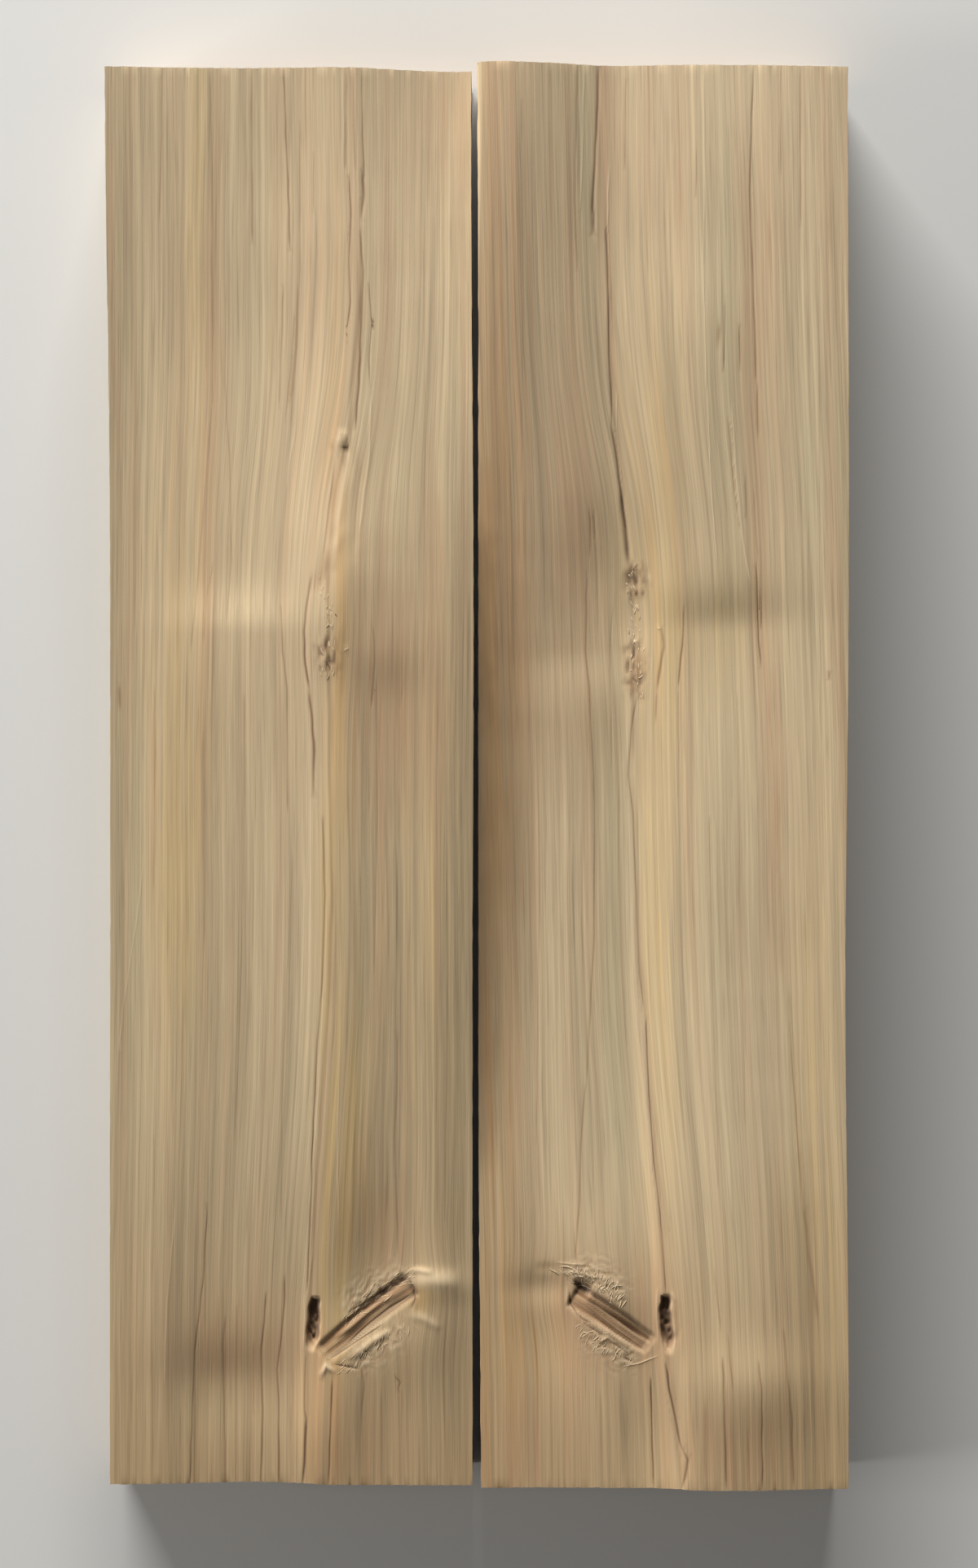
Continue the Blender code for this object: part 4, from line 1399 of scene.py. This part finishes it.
def toned(tree, grain, streaks, colour):
    """Lays the tones over the wood, and browns it towards the bottom end of the log."""
    hue = speckle(tree, grain, (70.0, 70.0, 2.0), roughness=0.5, shift=11.0)
    broken = calc(tree, "ADD", 0.30, above(tree, streaks, 0.38, 0.24))
    pink, green, ochre = [times(tree, part, broken) for part in parted(tree, attribute(tree, "tones"))]
    colour = blend(tree, calc(tree, "ADD", pink, above(tree, hue, 0.51, 0.30)), colour, PINK, "MULTIPLY")
    colour = blend(tree, calc(tree, "ADD", green, above(tree, hue, 0.42, -0.30)), colour, GREEN, "MULTIPLY")
    colour = blend(tree, ochre, colour, OCHRE, "MULTIPLY")
    downwards = above(tree, times(tree, parted(tree, grain)[2], -1.0), 0.26, 0.30)
    return blend(tree, downwards, colour, BOTTOM_BROWN, "MULTIPLY")


# %% [markdown]
# ## Stains, painted shade and drawn lines
#
# The stains come from the sheets of numbers; a few wide brown ones are painted shade. The thin
# lines come from their stored distance: a bell of that distance draws them as sharp as the
# picture allows, whatever the mesh. Ribs are stored as less than dark, so the same bell turned
# over draws them pale.


# %% Stains, painted shade and drawn lines
PALE_RIB = (0.600, 0.480, 0.320)
# The brown also colours the painted shade of a few wide veins
BROWN_STAIN_AND_SHADE = (0.225, 0.120, 0.055)
DARK_CRACK = (0.050, 0.027, 0.017)


def drawn_line(tree):
    """How dark and how brown a thin line is: its stored amounts times a sharp and a soft bell."""
    off, dark, brown = parted(tree, attribute(tree, "lines"))
    squared = times(tree, off, off)
    sharp = calc(tree, "POWER", math.e, times(tree, squared, -1.4))
    soft = calc(tree, "POWER", math.e, times(tree, squared, -0.5))
    return times(tree, dark, sharp), times(tree, brown, soft)


def stained_and_shaded(tree, rings, dark_line, brown_line, colour):
    """Lays pale, brown and dark over the wood; some of the brown is painted shade. Brown is stronger where
    the rings are light.
    """
    dark, brown, pale = parted(tree, attribute(tree, "stains_and_painted_shade"))
    patchy = calc(tree, "ADD", 0.50, times(tree, above(tree, rings, 0.36, 0.26), 0.70))
    brown = calc(tree, "MAXIMUM", times(tree, brown, patchy), brown_line)
    dark = calc(tree, "MAXIMUM", dark, dark_line)
    pale = calc(tree, "MAXIMUM", pale, times(tree, dark_line, -1.0))
    colour = blend(tree, times(tree, pale, 0.75), colour, PALE_RIB)
    colour = blend(tree, times(tree, brown, 0.85), colour, BROWN_STAIN_AND_SHADE)
    return blend(tree, times(tree, dark, 0.92), colour, DARK_CRACK)


# %% Split wood
# The right plank's wood is set a little lighter than the left's
LEFT_WOOD = (0.413, 0.316, 0.192)
RIGHT_WOOD = (0.450, 0.347, 0.214)
BUMP_HEIGHT = 0.0004   # full height of the fine bump in metres


def split_wood(name, base_colour):
    """Raw split wood: plain wood, tones, stains and lines, with a fine bump along the fibres."""
    material = bpy.data.materials.new(name)
    material.use_nodes = True
    tree = material.node_tree
    shader = tree.nodes["Principled BSDF"]
    grain = attribute(tree, "grain")
    ringwise = by_rings(tree, grain)
    noises = wood_noises(tree, grain, ringwise)
    dark_line, brown_line = drawn_line(tree)
    colour = plain_wood(tree, ringwise, noises, base_colour)
    colour = toned(tree, grain, noises["streaks"], colour)
    colour = stained_and_shaded(tree, noises["rings"], dark_line, brown_line, colour)
    tree.links.new(colour, shader.inputs["Base Color"])
    shader.inputs["Roughness"].default_value = 0.58
    shader.inputs["Specular IOR Level"].default_value = 0.38

    height = calc(tree, "ADD", times(tree, noises["fibres"], 0.6), times(tree, noises["rings"], 0.4))
    height = calc(tree, "SUBTRACT", height, times(tree, dark_line, 1.2))
    relief = tree.nodes.new("ShaderNodeBump")
    relief.inputs["Strength"].default_value = 0.6
    relief.inputs["Distance"].default_value = BUMP_HEIGHT
    tree.links.new(height, relief.inputs["Height"])
    tree.links.new(relief.outputs[0], shader.inputs["Normal"])
    return material


left_wood = split_wood("split_wood_left", LEFT_WOOD)
right_wood = split_wood("split_wood_right", RIGHT_WOOD)
for piece in LEFT_PIECES:
    piece.data.materials.append(left_wood)
for piece in RIGHT_PIECES:
    piece.data.materials.append(right_wood)
print(left_wood.name, "has", len(left_wood.node_tree.nodes), "nodes")

# %% [markdown]
# ## Floor, light and camera
#
# A wide soft lamp stands low beyond the top ends, so the light rakes along the planks and
# every swell shows. Light from straight above would hide them. A small side lamp fills in.
# The camera looks straight down, from the height that the photograph's perspective gives.


# %% Floor
FLOOR_WIDTH = 14.0
FLOOR_HEIGHT = -0.0005   # just under the backs, so that the two don't flicker into each other
bpy.ops.mesh.primitive_plane_add(size=FLOOR_WIDTH, location=(0.0, 0.0, FLOOR_HEIGHT))
floor = bpy.context.object
floor.name = "studio_floor"
paper = bpy.data.materials.new("pale_paper")
paper.use_nodes = True
paper_shader = paper.node_tree.nodes["Principled BSDF"]
paper_shader.inputs["Base Color"].default_value = (0.52, 0.52, 0.51, 1.0)
paper_shader.inputs["Roughness"].default_value = 0.9
floor.data.materials.append(paper)
print("the floor is", round(floor.dimensions.x, 1), "m wide")


# %% Lights
AIM = (0.0, 0.0, 0.05)


def lamp(name, place, width, height, power, colour):
    """A flat soft lamp at place, turned towards the middle of the planks."""
    data = bpy.data.lights.new(name, "AREA")
    data.shape = "RECTANGLE"
    data.size = width
    data.size_y = height
    data.energy = power
    data.color = colour
    made = bpy.data.objects.new(name, data)
    made.location = place
    way = np.array(AIM) - np.array(place)
    flat = math.hypot(way[0], way[1])
    made.rotation_euler = (math.atan2(flat, -way[2]), 0.0, math.atan2(way[1], way[0]) - math.pi / 2.0)
    bpy.context.scene.collection.objects.link(made)
    print(name, "lamp stands", round(math.hypot(flat, way[2]), 2), "m away")


lamp("key", (-1.18, 6.50, 1.44), 5.2, 1.1, 1840.0, (1.0, 0.99, 0.97))
lamp("side", (-3.63, -0.60, 1.20), 1.2, 0.6, 95.0, (1.0, 0.97, 0.93))

# %% Room light
world = bpy.data.worlds.new("studio")
world.use_nodes = True
room = world.node_tree.nodes["Background"]
room.inputs["Color"].default_value = (1.0, 0.95, 0.88, 1.0)
room.inputs["Strength"].default_value = 0.10
bpy.context.scene.world = world
bpy.context.scene.view_settings.view_transform = "Standard"
print("room light", round(room.inputs["Strength"].default_value, 2))

# %% [markdown]
# ## Camera
#
# The longer side of the picture takes the whole sensor. So the lens is the sensor's width
# times the eye's height over the length that the picture shows.

# %% Camera
SENSOR = 36.0
camera = bpy.data.cameras.new("camera")
camera.sensor_width = SENSOR
camera.lens = SENSOR * EYE_HEIGHT / (CHART_HEIGHT * CHART_STEP)
eye = bpy.data.objects.new("camera", camera)
eye.location = EYE
bpy.context.scene.collection.objects.link(eye)
bpy.context.scene.camera = eye
print("lens", round(camera.lens, 2), "mm")
